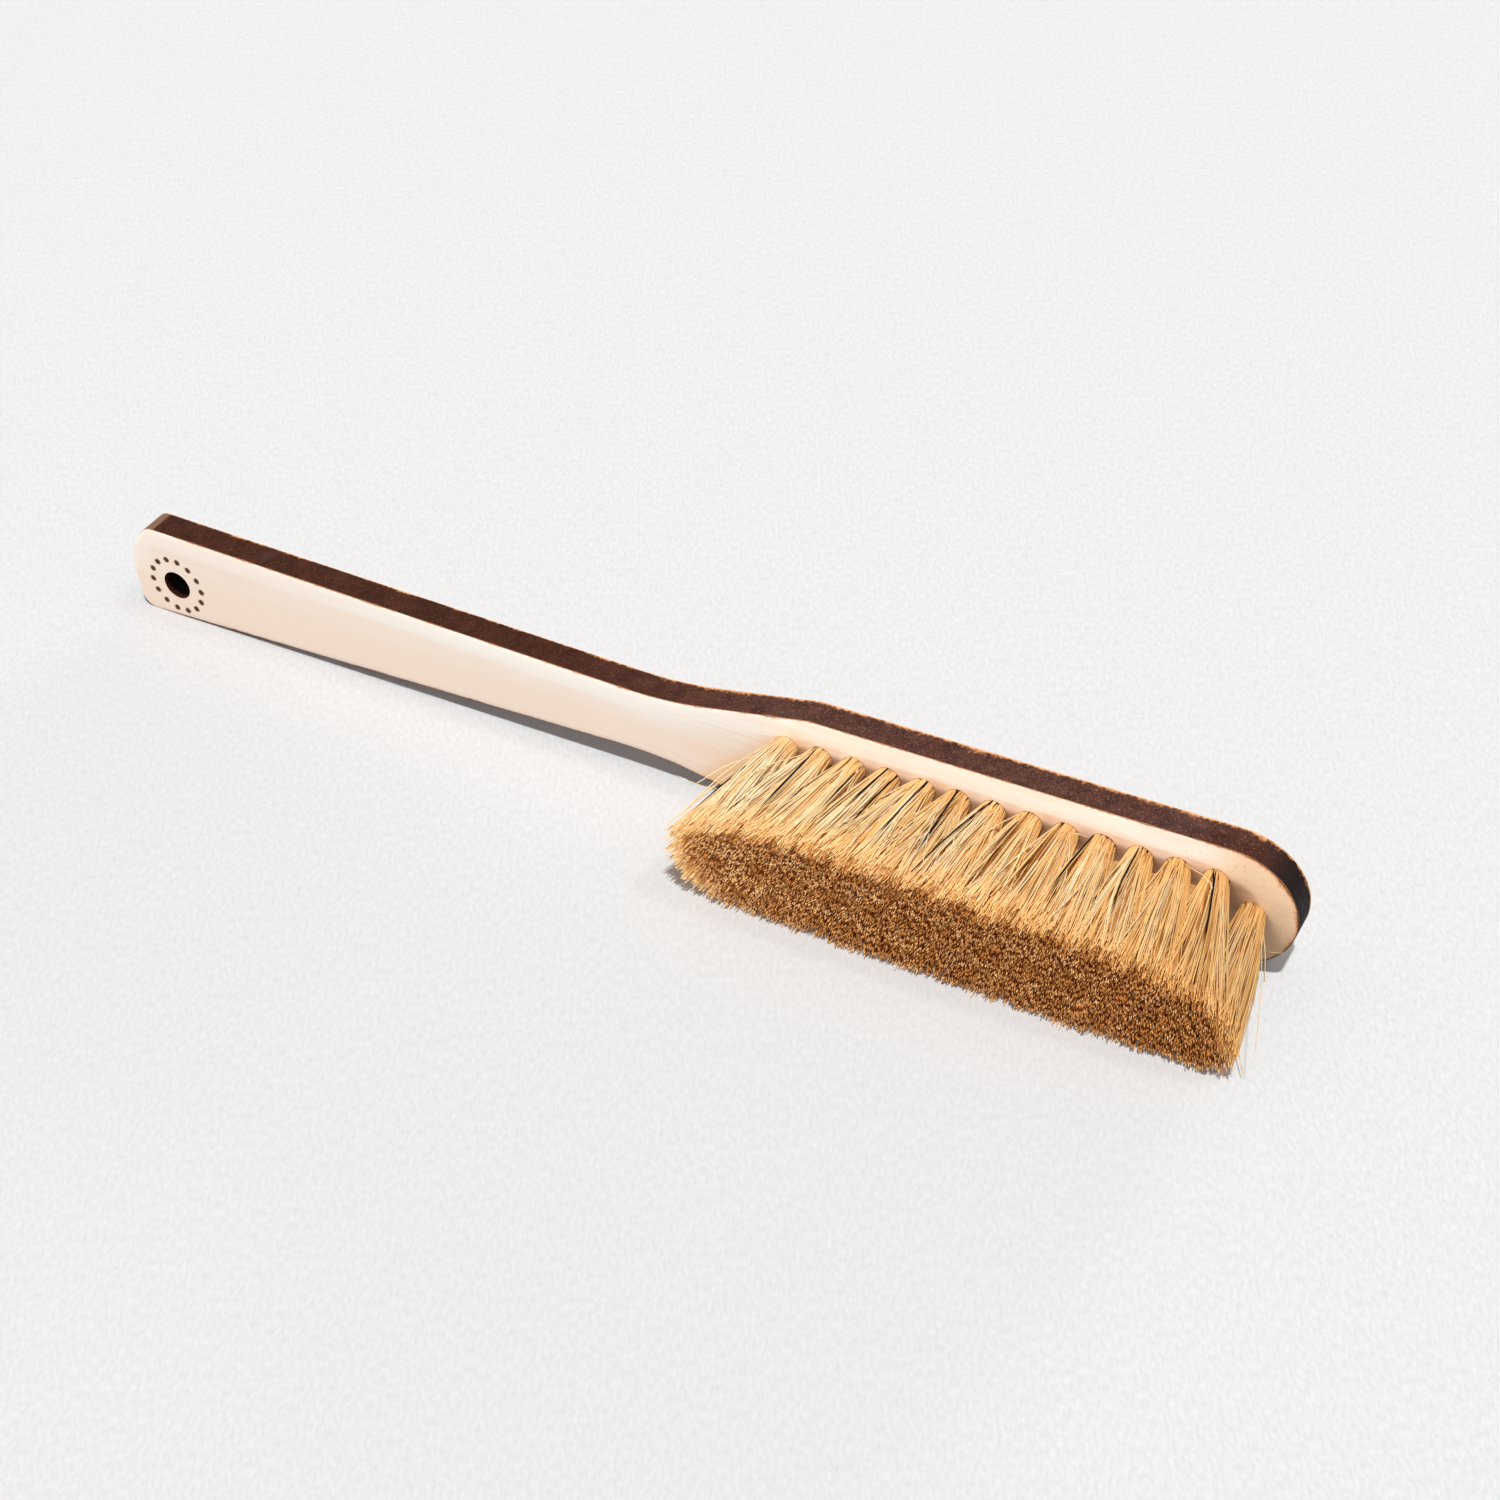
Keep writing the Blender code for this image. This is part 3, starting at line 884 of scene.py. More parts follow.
def board_profile(board):
    """Inset, height and distance across the border of each ring, from the front flat to the back."""
    top = board.thickness
    rings = []
    for inset in BAND_INSETS:
        share = max(0, 1 - inset / FRONT_ROUND_WIDTH)
        rings.append((inset, top - FRONT_ROUND_DEPTH * share**2, inset))
    wall = wall_height(board)
    for i in range(1, WALL_STEPS + 1):
        fall = wall * i / WALL_STEPS
        rings.append((0.0, top - FRONT_ROUND_DEPTH - fall, -fall))
    for inset in BACK_INSETS:
        share = max(0, 1 - inset / BACK_ROUND_WIDTH)
        rings.append((inset, BACK_ROUND_DEPTH * share**2, -wall - inset))
    return rings


def make_board_mesh(board):
    """The board's skin: rings from the front flat over both borders to the back, then two caps."""
    outline = board_outline(board)
    ways = outward(outline)
    inner = inward(outline, board)
    rings = board_profile(board)
    count = len(outline)
    bm = bmesh.new()
    rows = []
    for inset, height, across in rings:
        row = []
        for place, way, toward in zip(outline, ways, inner):
            spot = Vector((place.x, place.y, height))
            relief = 0.0
            if across <= 0 and inset == 0:
                relief = CHAR_RELIEF * (noise.noise(spot * CHAR_GRAIN) - 1)
            if inset < FRONT_ROUND_WIDTH / 2:
                wear = noise.noise(Vector((place.x, place.y, across)) * WEAR_GRAIN)
                relief -= BORDER_WEAR * max(0, wear) ** 2
            move = way * relief + toward * inset
            row.append(bm.verts.new((place.x + move.x, place.y + move.y, height)))
        rows.append(row)
    reach = [0.0]
    for here, after in zip(outline, outline[1:] + outline[:1]):
        reach.append(reach[-1] + (after - here).length)
    edge_map = bm.loops.layers.uv.new(EDGE_MAP)
    lowest = -wall_height(board) - 1e-7
    for k in range(len(rings) - 1):
        for i in range(count):
            j = (i + 1) % count
            face = bm.faces.new((rows[k][i], rows[k + 1][i], rows[k + 1][j], rows[k][j]))
            places = ((i, k), (i, k + 1), (i + 1, k + 1), (i + 1, k))
            for loop, (column, ring) in zip(face.loops, places):
                loop[edge_map].uv = (reach[column], rings[ring][2])
            on_wall = rings[k][2] <= 0 and rings[k + 1][2] >= lowest
            face.material_index = CHARRED if on_wall else SANDED
    for row, across in ((rows[0], rings[0][2]), (rows[-1][::-1], rings[-1][2])):
        cap = bm.faces.new(row)
        for loop in cap.loops:
            loop[edge_map].uv = (0.0, across)
    bmesh.ops.recalc_face_normals(bm, faces=bm.faces)
    return mesh_from(bm, "board")


def add_turned(bm, rings, sides, place):
    """Add a closed turned solid of (radius, height) rings, standing along Z."""
    verts = []
    for radius, height in rings:
        for i in range(sides):
            angle = math.tau * i / sides
            spot = (place.x + radius * math.cos(angle), place.y + radius * math.sin(angle), height)
            verts.append(bm.verts.new(spot))
    for face in tube_faces(sides, len(rings)):
        bm.faces.new([verts[corner] for corner in face])


def tuft_places():
    """Name, x and y of each tuft, row by row from the handle to the tip."""
    places = []
    for i in range(OUTER_ROW_COUNT):
        places.append((f"tuft_upper_{i + 1:02d}", i * TUFT_PITCH, ROW_OFFSET))
    for i in range(MIDDLE_ROW_COUNT):
        places.append((f"tuft_middle_{i + 1:02d}", (i + 0.5) * TUFT_PITCH, 0.0))
    for i in range(OUTER_ROW_COUNT):
        places.append((f"tuft_lower_{i + 1:02d}", i * TUFT_PITCH, -ROW_OFFSET))
    places.append(("tuft_tip", OUTER_ROW_COUNT * TUFT_PITCH, 0.0))
    return places


def cut_holes(piece, board):
    """Cut the hanging hole, with a softened rim, and the blind tuft holes."""
    top = board.thickness
    bm = bmesh.new()
    rim = [
        (HANGING_HOLE_RADIUS + HOLE_RIM + CUT_OVERRUN, -CUT_OVERRUN),
        (HANGING_HOLE_RADIUS, HOLE_RIM),
        (HANGING_HOLE_RADIUS, top - HOLE_RIM),
        (HANGING_HOLE_RADIUS + HOLE_RIM + CUT_OVERRUN, top + CUT_OVERRUN),
    ]
    add_turned(bm, rim, HOLE_SIDES, HANGING_HOLE)
    for _, x, y in tuft_places():
        rings = [(TUFT_HOLE_RADIUS, WOOD_UNDER_HOLE), (TUFT_HOLE_RADIUS, top + CUT_OVERRUN)]
        add_turned(bm, rings, TUFT_HOLE_SIDES, Vector((x, y)))
    bmesh.ops.recalc_face_normals(bm, faces=bm.faces)
    cutter = place_piece("holes", mesh_from(bm, "holes"))
    modifier = piece.modifiers.new("holes", "BOOLEAN")
    modifier.object = cutter
    modifier.solver = "EXACT"
    graph = bpy.context.evaluated_depsgraph_get()
    cut = bpy.data.meshes.new_from_object(piece.evaluated_get(graph))
    piece.modifiers.clear()
    piece.data = cut
    bpy.data.objects.remove(cutter)
    for face in cut.polygons:
        centre = face.center
        from_hanging = (centre.xy - HANGING_HOLE.xy).length
        from_tuft = min(math.hypot(centre.x - x, centre.y - y) for _, x, y in tuft_places())
        within = WOOD_UNDER_HOLE / 2 < centre.z < top - FRONT_ROUND_DEPTH / 4
        if from_hanging < HANGING_HOLE_RADIUS + HOLE_RIM / 2 and abs(face.normal.z) < UPRIGHT:
            face.material_index = BURNT_HOLE
        elif from_tuft < TUFT_HOLE_RADIUS + HOLE_SLACK and within:
            face.material_index = DRILLED
    cut.transform(REST_POSE)


def make_board(board):
    """The dressed handle board."""
    piece = place_piece("handle_board_dressed", make_board_mesh(board))
    cut_holes(piece, board)
    for maker in (make_face_material, make_wall_material, make_hole_material, make_drilled_material):
        piece.data.materials.append(maker(board))
    piece.data.shade_smooth()
    piece.data.set_sharp_from_angle(angle=SHARP_ANGLE)
    weighted = piece.modifiers.new("even_shading", "WEIGHTED_NORMAL")
    weighted.keep_sharp = True
    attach(piece, "root")
    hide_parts("handle_board")


# Tufts: the trimmed outline, and how the rows fan out and the end tufts lean
TRIM_OUTLINE = (
    (-0.0140, -0.0040), (-0.0124, 0.0022), (-0.0088, 0.0062), (-0.0011, 0.0106), (0.0103, 0.0122),
    (0.0228, 0.0129), (0.0429, 0.0124), (0.0604, 0.0118), (0.0788, 0.0112), (0.0918, 0.0106),
    (0.1010, 0.0092), (0.1122, 0.0074), (0.1185, 0.0042), (0.1220, -0.0010), (0.1235, -0.0078),
    (0.1225, -0.0145), (0.1178, -0.0166), (0.1068, -0.0168), (0.0881, -0.0171), (0.0439, -0.0165),
    (0.0112, -0.0160), (-0.0038, -0.0151), (-0.0108, -0.0112),
)
TIP_ROW_OFFSET = 0.0096
TIP_DROOP = 0.00175
LEAN_HANDLE_END = 0.0090
LEAN_HEAD_END = 0.0050
LEANING_TUFTS = 3.5
SPREAD_RATIO = 1.32471795724
SHARE_TURNS = 120
SHARE_STEP = 0.25
CELL_BLUR = 0.0022
CENTRE_DRIFT = 0.0006

# Fibres: their tubes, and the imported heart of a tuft
FIBRE_SIDES = 4
FIBRE_RINGS = (0.0, 0.18, 0.38, 0.58, 0.79, 1.0)
FIBRE_TAPER = 0.40
FIBRE_THICKNESS = (0.65, 1.35)
CORE_SIDES = 18
CORE_RINGS = (0.0, 0.22, 0.44, 0.64, 0.80)
CORE_SHARE = 0.70
CORE_SEAT = 0.002
CORE_WEDGE = 0.88
CORE_PERCENTILE = 88

# Fibres: roots in the bundle, bends, and the locks that they stick together in
ROOT_REACH = 0.00290
ROOT_DEPTH = 0.0030
ROOT_TURN = 0.10
ROOT_SWAP = 0.00080
ROOT_SWAP_SHARE = 0.35
BOW = 0.00026
LOCK_SIZE = 5
LOCK_PULL = (0.20, 0.42)
LOCK_ROOT_SHIFT = 0.00085
LOCK_BOW = 0.00055
TIP_JITTER = 0.00016

# Fibres: uneven lengths, shorter at the upper border, and strays
TRIM_UNEVEN = 0.00036
LOCK_UNEVEN = 0.00045
PATCH_SCALE = 330
PATCH_SLICE = 3.7
PATCH_UNEVEN = 0.0011
SHORT_SHARE = 0.20
SHORT_MOST = 0.0026
UPPER_FROM = 0.006
BORDER_BAND = 0.0026
BORDER_SHORT = 0.0034
BORDER_SHORT_BELOW = 0.35
STRAY_SHARE = 0.030
STRAY_REACH = (0.0030, 0.0012)
STRAY_BOW = 2
FUZZ_FULL = -0.0140
FUZZ_FROM = 0.0120
FUZZ_REACH = 0.0013
FUZZ_MEAN = 0.5

# Fibres: how far inside the brush a tip counts as inside, which paints shade on the fibre just below its
# cut end
INSIDE_FROM = 0.0022
INSIDE_WIDTH = 0.0020
INSIDE_LEAST_WIDTH = 0.0006
INSIDE_MIXED = 0.0014
FLOOR_FADE_FROM = -0.0150
FLOOR_FADE = 0.006

# Fibres: how they are lifted off the floor
FLOOR_GAP = 0.7
FLOOR_UNEVEN = 0.3

# Fibres: tones, from none at the deepest to one at the palest, lowered as painted shade within a tuft and
# at its two sides, and the black ones
# Painted light and shade along the head: tones raised toward the handle end and lowered toward the head's
# tip
LIGHT_ALONG_HEAD = ((0.0, 0.03, 0.07, 0.105), (0.40, 0.17, 0.06, -0.06))
LOCK_TONE = 0.50
PATCH_TONE = 0.30
RANK_SHADE = 1.0
RANK_EVEN = 0.66
OUTER_RANK = 0.82
OUTER_TONE = 0.30
SIDE_FROM = 0.35
SIDE_SHADE = ((0.0, 0.03), (0.35, 0.90))
STRAY_TONE = 0.70
CORE_SHADE_TONE = 0.06
CORE_LIGHT_ALONG_HEAD = 0.5
BLACK_RANK = 0.8
BLACK_SHARE = 0.001
BLACK_SHARE_OUTSIDE = 0.006
BLACK_THICKER = 1.35
BLACK_TO = (0.55, 1.3)
BLACK_ON_TOP = (0.35, 0.45, 0.20)
BLACK_LIFT = 0.00015

# Loose hairs that stand off the tufts
STRAY_STEPS = 10
STRAY_END = 0.85
STRAY_TONES = (0.86, 0.97)
STRAY_HAIRS = (
    ((-0.0020, 0.0060, 0.0100), (-0.0082, 0.0074, 0.0200), (-0.0141, 0.0039, 0.0260)),
    ((-0.0050, 0.0035, 0.0240), (-0.0125, 0.0039, 0.0260), (-0.0188, 0.0049, 0.0262)),
    (
        (0.042, 0.0080, 0.0160), (0.0392, 0.0103, 0.0200), (0.0361, 0.0098, 0.0232),
        (0.0332, 0.0090, 0.0260),
    ),
    ((0.0700, 0.0070, 0.0095), (0.0736, 0.0094, 0.0103), (0.0765, 0.0091, 0.0100)),
    (
        (0.0972, 0.0086, 0.0085), (0.1054, 0.0096, 0.0128), (0.108, 0.0050, 0.0184),
        (0.1087, -0.0012, 0.0244),
    ),
    (
        (0.115, 0.0016, 0.0085), (0.1182, -0.0005, 0.0135), (0.1202, -0.0026, 0.0175),
        (0.1212, -0.0068, 0.02),
    ),
    ((0.1165, -0.0060, 0.0120), (0.1192, -0.0040, 0.0140), (0.1231, -0.0027, 0.0141)),
)


def smooth_outline(corners, rounds=3):
    """Cut the corners of a closed outline a few times over."""
    points = np.array(corners)
    for _ in range(rounds):
        after = np.roll(points, -1, 0)
        points = np.stack([0.75 * points + 0.25 * after, 0.25 * points + 0.75 * after], 1).reshape(-1, 2)
    return points


def inside_outline(points, outline):
    """Which points lie inside a closed outline."""
    after = np.roll(outline, -1, 0)
    x, y = points[:, 0, None], points[:, 1, None]
    straddles = (outline[None, :, 1] > y) != (after[None, :, 1] > y)
    climb = after[:, 1] - outline[:, 1]
    climb = np.where(climb == 0, 1e-12, climb)
    cross = outline[:, 0] + (y - outline[:, 1]) * (after[:, 0] - outline[:, 0]) / climb
    return (straddles & (x < cross)).sum(1) % 2 == 1


def outline_distance(points, outline):
    """Distance from each point to a closed outline."""
    along = np.roll(outline, -1, 0) - outline
    from_start = points[:, None] - outline[None]
    share = (from_start * along).sum(2) / (along**2).sum(1)
    off = from_start - np.clip(share, 0, 1)[..., None] * along
    return np.linalg.norm(off, axis=2).min(1)


def spread_tips(count, outline):
    """Evenly spread places of cut tips inside the trimmed outline."""
    low, high = outline.min(0), outline.max(0)
    order = np.arange(count * 3)[:, None]
    steps = np.array([1 / SPREAD_RATIO, 1 / SPREAD_RATIO**2])
    points = low + (high - low) * ((0.5 + order * steps) % 1)
    return points[inside_outline(points, outline)][:count]


def tip_centre(x, y):
    """Where a tuft's tips would centre: rows fan out, and the end tufts lean outward."""
    reach = LEANING_TUFTS * TUFT_PITCH
    handle_end = max(0, 1 - x / reach) ** 2
    head_end = max(0, 1 - (OUTER_ROW_COUNT * TUFT_PITCH - x) / reach) ** 2
    along = LEAN_HEAD_END * head_end - LEAN_HANDLE_END * handle_end
    return x + along, y * TIP_ROW_OFFSET / ROW_OFFSET - TIP_DROOP


def share_out(points, centres):
    """Give each place to a tuft, so that near tufts get it and each gets about as many."""
    fair = len(points) / len(centres)
    cell = np.ptp(points[:, 0]) * np.ptp(points[:, 1]) / len(centres)
    weight = np.zeros(len(centres))
    for turn in range(SHARE_TURNS):
        far = ((points[:, None] - centres[None]) ** 2).sum(2) - weight
        owner = far.argmin(1)
        share = np.bincount(owner, minlength=len(centres))
        weight += SHARE_STEP * cell * (1 - share / fair) * (1 - turn / (SHARE_TURNS + 10))
    return owner


def pull_together(tips, inside, draw):
    """Draw tips toward the middle of the lock of fibres that they stick to; which lock each is in."""
    locks = tips[draw.permutation(len(tips))[: max(1, int(len(tips) / LOCK_SIZE))]]
    nearest = ((tips[:, None] - locks[None]) ** 2).sum(2).argmin(1)
    count = np.bincount(nearest, minlength=len(locks))[:, None]
    total = np.stack([np.bincount(nearest, tips[:, i], len(locks)) for i in range(2)], 1)
    middle = total / np.maximum(count, 1)
    pull = LOCK_PULL[0] + (LOCK_PULL[1] - LOCK_PULL[0]) * inside[:, None]
    return tips + pull * (middle[nearest] - tips), nearest


def within_bundle(roots):
    """Bring roots that lie outside the round bundle back to its rim."""
    length = np.linalg.norm(roots, axis=1, keepdims=True)
    return roots * np.minimum(1, ROOT_REACH / np.maximum(length, 1e-9))


def root_places(tips, draw):
    """Root of each fibre in its round bundle, on the same side as its tip; rank from the middle."""
    offset = tips - tips.mean(0)
    spread = np.linalg.cholesky(np.linalg.inv(np.cov(offset.T)))
    even = offset @ spread
    order = np.linalg.norm(even, axis=1).argsort().argsort()
    rank = (order + 0.5) / len(tips)
    angle = np.arctan2(even[:, 1], even[:, 0]) + draw.normal(0, ROOT_TURN, len(tips))
    reach = ROOT_REACH * np.sqrt(rank)
    roots = reach[:, None] * np.stack([np.cos(angle), np.sin(angle)], 1)
    swap = draw.normal(0, ROOT_SWAP, roots.shape)
    swap = swap * (draw.uniform(0, 1, (len(tips), 1)) < ROOT_SWAP_SHARE)
    return roots + swap, rank


def floor_height(x, y):
    """Height above the floor of a place on the flat-lying board's X and Y."""
    return FIRST_TUFT.z + x * math.sin(REST_TILT) + y * math.cos(REST_TILT)


def inside_share(tips, trimmed, draw):
    """How far inside the brush each tip is: none at the outline, all well within it."""
    above_floor = np.clip((tips[:, 1] - FLOOR_FADE_FROM) / FLOOR_FADE, 0, 1)
    start = (INSIDE_FROM + np.abs(draw.normal(0, INSIDE_MIXED, len(tips)))) * above_floor
    return np.clip((trimmed - start) / (INSIDE_LEAST_WIDTH + INSIDE_WIDTH * above_floor), 0, 1)


def patches(tips):
    """A slow unevenness over the cut face, from about minus a half to a half."""
    spots = [Vector((x * PATCH_SCALE, y * PATCH_SCALE, PATCH_SLICE)) for x, y in tips]
    return np.array([noise.noise(spot) for spot in spots])


def fibre_lengths(near_border, lock, patch, tuft, draw):
    """Length of each fibre: uneven, a few short, and shorter near the border."""
    count = len(lock)
    length = tuft.length + draw.normal(0, TRIM_UNEVEN, count)
    length += draw.normal(0, LOCK_UNEVEN, lock.max() + 1)[lock] + PATCH_UNEVEN * patch
    short = draw.uniform(0, 1, count) ** 2 * SHORT_MOST
    length -= short * (draw.uniform(0, 1, count) < SHORT_SHARE)
    return length - draw.uniform(0, 1, count) ** 1.5 * BORDER_SHORT * near_border


def fan_out(roots, tips, bow, length):
    """Centre lines from a seat in the hole through the roots to the tips, with a bow on the way."""
    t = np.array(FIBRE_RINGS)
    side = roots[:, None] + (tips - roots)[:, None] * t[None, :, None]
    side = side + bow[:, None] * np.sin(math.pi * t)[None, :, None]
    path = np.concatenate([side, (length[:, None] * t)[:, :, None]], 2)
    seat = np.concatenate([roots, np.full((len(roots), 1), -ROOT_DEPTH)], 1)
    return np.concatenate([seat[:, None], path], 1)


def lift_off_floor(path, diameter, draw):
    """Raise the centre lines that would lie in the floor, by uneven amounts."""
    height = floor_height(path[:, :, 0], path[:, :, 1]) - diameter * FLOOR_GAP - FLOOR_CLEARANCE
    uneven = 1 + FLOOR_UNEVEN * draw.uniform(0, 1, (len(path), 1))
    path[:, :, 1] += np.where(height < 0, -height * uneven, 0)


def fibre_paths(x, y, tips, trimmed, inside, patch, tuft, draw):
    """Centre lines of a tuft's fibres by fibre, ring and place; their rank, lock and strays."""
    count = len(tips)
    upper = np.clip(tips[:, 1] / UPPER_FROM, 0, 1)
    near_border = np.clip(1 - trimmed / BORDER_BAND, 0, 1)
    near_border = near_border * (BORDER_SHORT_BELOW + (1 - BORDER_SHORT_BELOW) * upper)
    tips, lock = pull_together(tips, inside, draw)
    locks = lock.max() + 1
    roots, rank = root_places(tips, draw)
    roots = within_bundle(roots + draw.normal(0, LOCK_ROOT_SHIFT, (locks, 2))[lock]) + (x, y)
    stray = draw.uniform(0, 1, count) < STRAY_SHARE
    tips = tips + draw.normal(0, TIP_JITTER, tips.shape)
    tips[stray] += draw.normal(0, STRAY_REACH, (stray.sum(), 2))
    fuzz = np.clip(1 - (tips[:, 0] - FUZZ_FULL) / (FUZZ_FROM - FUZZ_FULL), 0, 1) ** 2
    tips[:, 0] -= fuzz * FUZZ_REACH * draw.exponential(FUZZ_MEAN, count)
    bow = draw.normal(0, BOW, (count, 2)) + draw.normal(0, LOCK_BOW, (locks, 2))[lock]
    bow[stray] *= STRAY_BOW
    path = fan_out(roots, tips, bow, fibre_lengths(near_border, lock, patch, tuft, draw))
    lift_off_floor(path, tuft.diameter, draw)
    return path, rank, lock, stray


def tube_arrays(sides, rings):
    """A closed tube's faces as arrays: their corners, their sizes, and which ones are sharp."""
    faces = tube_faces(sides, rings)
    sizes = np.array([len(face) for face in faces])
    return np.concatenate(faces), sizes, np.arange(len(faces)) >= len(faces) - 2


def tube_part(path, along, radius, tone, dark_to, inside):
    """Tubes round centre lines: places, faces, and each corner's tone, way along, black and inside."""
    count, rings = path.shape[:2]
    turn = np.arange(FIBRE_SIDES) * math.tau / FIBRE_SIDES
    spin = (tone * 40)[:, None] + turn[None]
    around = np.stack([np.cos(spin), np.sin(spin)], 2)
    reach = radius[:, None] * (1 - FIBRE_TAPER * along**2.5)[None]
    verts = np.repeat(path[:, :, None], FIBRE_SIDES, 2)
    verts[..., :2] += reach[:, :, None, None] * around[:, None]
    pattern, sizes, sharp = tube_arrays(FIBRE_SIDES, rings)
    start = np.arange(count) * rings * FIBRE_SIDES
    corners = (start[:, None] + pattern[None]).reshape(-1)
    way = along[pattern // FIBRE_SIDES]
    at_cap = np.concatenate([np.zeros(len(pattern) - FIBRE_SIDES), np.ones(FIBRE_SIDES)])
    values = np.ones((count, len(pattern), 4), np.float32)
    values[..., 0] = tone[:, None]
    values[..., 1] = (way + at_cap)[None] / 2
    values[..., 2] = way[None] < dark_to[:, None]
    values[..., 3] = inside[:, None]
    verts, values = verts.reshape(-1, 3), values.reshape(-1, 4)
    return verts, corners, np.tile(sizes, count), np.tile(sharp, count), values


def core_part(path, length, tone):
    """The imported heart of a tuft, a little inside its outer fibres and short of their tips."""
    share = np.array(FIBRE_RINGS)
    turn = np.arange(CORE_SIDES) * math.tau / CORE_SIDES
    toward = np.stack([np.cos(turn), np.sin(turn)], 1)
    rows = []
    for t in CORE_RINGS:
        k = min(np.searchsorted(share, t, "right") - 1, len(share) - 2)
        part = (t - share[k]) / (share[k + 1] - share[k])
        places = path[:, k + 1] * (1 - part) + path[:, k + 2] * part
        middle = places.mean(0)
        off = (places - middle)[:, :2]
        reach = np.linalg.norm(off, axis=1)
        way = off @ toward.T / np.maximum(reach, 1e-9)[:, None]
        nearby = [reach[way[:, i] > CORE_WEDGE] for i in range(CORE_SIDES)]
        radius = np.array([np.percentile(lengths, CORE_PERCENTILE) for lengths in nearby])
        radius = (radius + np.roll(radius, 1) + np.roll(radius, -1)) / 3 * CORE_SHARE
        height = np.full(CORE_SIDES, length * t - (CORE_SEAT if t == 0 else 0.0))
        rows.append(np.column_stack([middle[:2] + radius[:, None] * toward, height]))
    corners, sizes, sharp = tube_arrays(CORE_SIDES, len(CORE_RINGS))
    values = np.ones((len(corners), 4), np.float32)
    values[:, 0] = tone
    values[:, 1] = np.array(CORE_RINGS)[corners // CORE_SIDES] / 2
    # Its cap counts as a cut end, so it takes the painted shade below the cut
    values[-CORE_SIDES:, 1] = 0.5
    values[:, 2] = 0
    return np.concatenate(rows), corners, sizes, sharp, values


def joined_mesh(name, parts, top):
    """One posed mesh of several parts; its colour layer keeps tone, way along, black and inside."""
    offsets = np.cumsum([0] + [len(part[0]) for part in parts[:-1]])
    verts = np.concatenate([part[0] for part in parts])
    corners = np.concatenate([part[1] + offset for part, offset in zip(parts, offsets)])
    sizes = np.concatenate([part[2] for part in parts])
    verts[:, 2] += top
    pose = np.array(REST_POSE)
    verts = verts @ pose[:3, :3].T + pose[:3, 3]
    mesh = bpy.data.meshes.new(name)
    mesh.vertices.add(len(verts))
    mesh.vertices.foreach_set("co", verts.reshape(-1))
    mesh.loops.add(len(corners))
    mesh.loops.foreach_set("vertex_index", corners.astype(np.int32))
    mesh.polygons.add(len(sizes))
    starts = np.concatenate([[0], np.cumsum(sizes)[:-1]])
    mesh.polygons.foreach_set("loop_start", starts.astype(np.int32))
    mesh.update(calc_edges=True)
    layer = mesh.color_attributes.new(FIBRE_TONE, "FLOAT_COLOR", "CORNER")
    layer.data.foreach_set("color", np.concatenate([part[4] for part in parts]).reshape(-1))
    mesh.shade_smooth()
    flat = mesh.attributes.new("sharp_face", "BOOLEAN", "FACE")
    flat.data.foreach_set("value", np.concatenate([part[3] for part in parts]))
    if mesh.validate():
        raise RuntimeError(f"{name} has broken faces")
    return mesh


def fibre_tones(x, path, rank, lock, stray, patch, draw):
    """Tone of each fibre: like its lock's, raised as painted light toward the handle end, and lowered as
    painted shade toward the head's tip, within the tuft and at the tuft's two sides.
    """
    tone = draw.uniform(0, 1, len(rank))
    tone += LOCK_TONE * (draw.uniform(0, 1, lock.max() + 1)[lock] - tone)
    tone += np.interp(x, *LIGHT_ALONG_HEAD) + PATCH_TONE * patch + RANK_SHADE * np.minimum(rank - RANK_EVEN, 0)
    tone = np.clip(tone, np.where(stray, STRAY_TONE, np.where(rank > OUTER_RANK, OUTER_TONE, 0)), 1)
    beside = np.clip(np.abs(path[:, 1, 0] - x) / ROOT_REACH - SIDE_FROM, 0, 1)
    return np.where(stray, tone, tone * (1 - np.interp(x, *SIDE_SHADE) * beside))


def black_fibres(y, path, rank, stray, draw):
    """Which fibres are black: a few anywhere, and up to two on an upper tuft, lifted into sight."""
    black = draw.uniform(0, 1, len(rank)) < np.where(rank > BLACK_RANK, BLACK_SHARE_OUTSIDE, BLACK_SHARE)
    if y > 0:
        height = path[:, 3, 1] - stray
        topmost = height.argsort()[::-1][: draw.choice(len(BLACK_ON_TOP), p=BLACK_ON_TOP)]
        black[topmost] = True
        path[topmost, 1:, 1] += BLACK_LIFT
    return black


def make_tuft(name, x, y, tips, trimmed, material, seed, tuft, top):
    """One tuft of fine fibres round its packed heart, in the place of its node."""
    draw = np.random.RandomState(seed)
    inside, patch = inside_share(tips, trimmed, draw), patches(tips)
    path, rank, lock, stray = fibre_paths(x, y, tips, trimmed, inside, patch, tuft, draw)
    radius = tuft.diameter / 2 * draw.uniform(*FIBRE_THICKNESS, len(tips))
    tone = fibre_tones(x, path, rank, lock, stray, patch, draw)
    black = black_fibres(y, path, rank, stray, draw)
    radius[black] = tuft.diameter / 2 * BLACK_THICKER
    dark_to = np.where(black, draw.uniform(*BLACK_TO, len(tips)), -1)
    along = np.concatenate([[0], FIBRE_RINGS])
    # The heart's low tone is painted shade within the tuft, raised toward the handle end as painted light
    core_tone = CORE_SHADE_TONE + CORE_LIGHT_ALONG_HEAD * max(np.interp(x, *LIGHT_ALONG_HEAD), 0)
    fibres = tube_part(path, along, radius, tone, dark_to, inside)
    parts = [fibres, core_part(path, tuft.length, core_tone)]
    mesh = joined_mesh(f"{name}_fibres", parts, top)
    mesh.materials.append(material)
    piece = place_piece(f"{name}_fibres", mesh)
    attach(piece, "root")
    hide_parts(name)


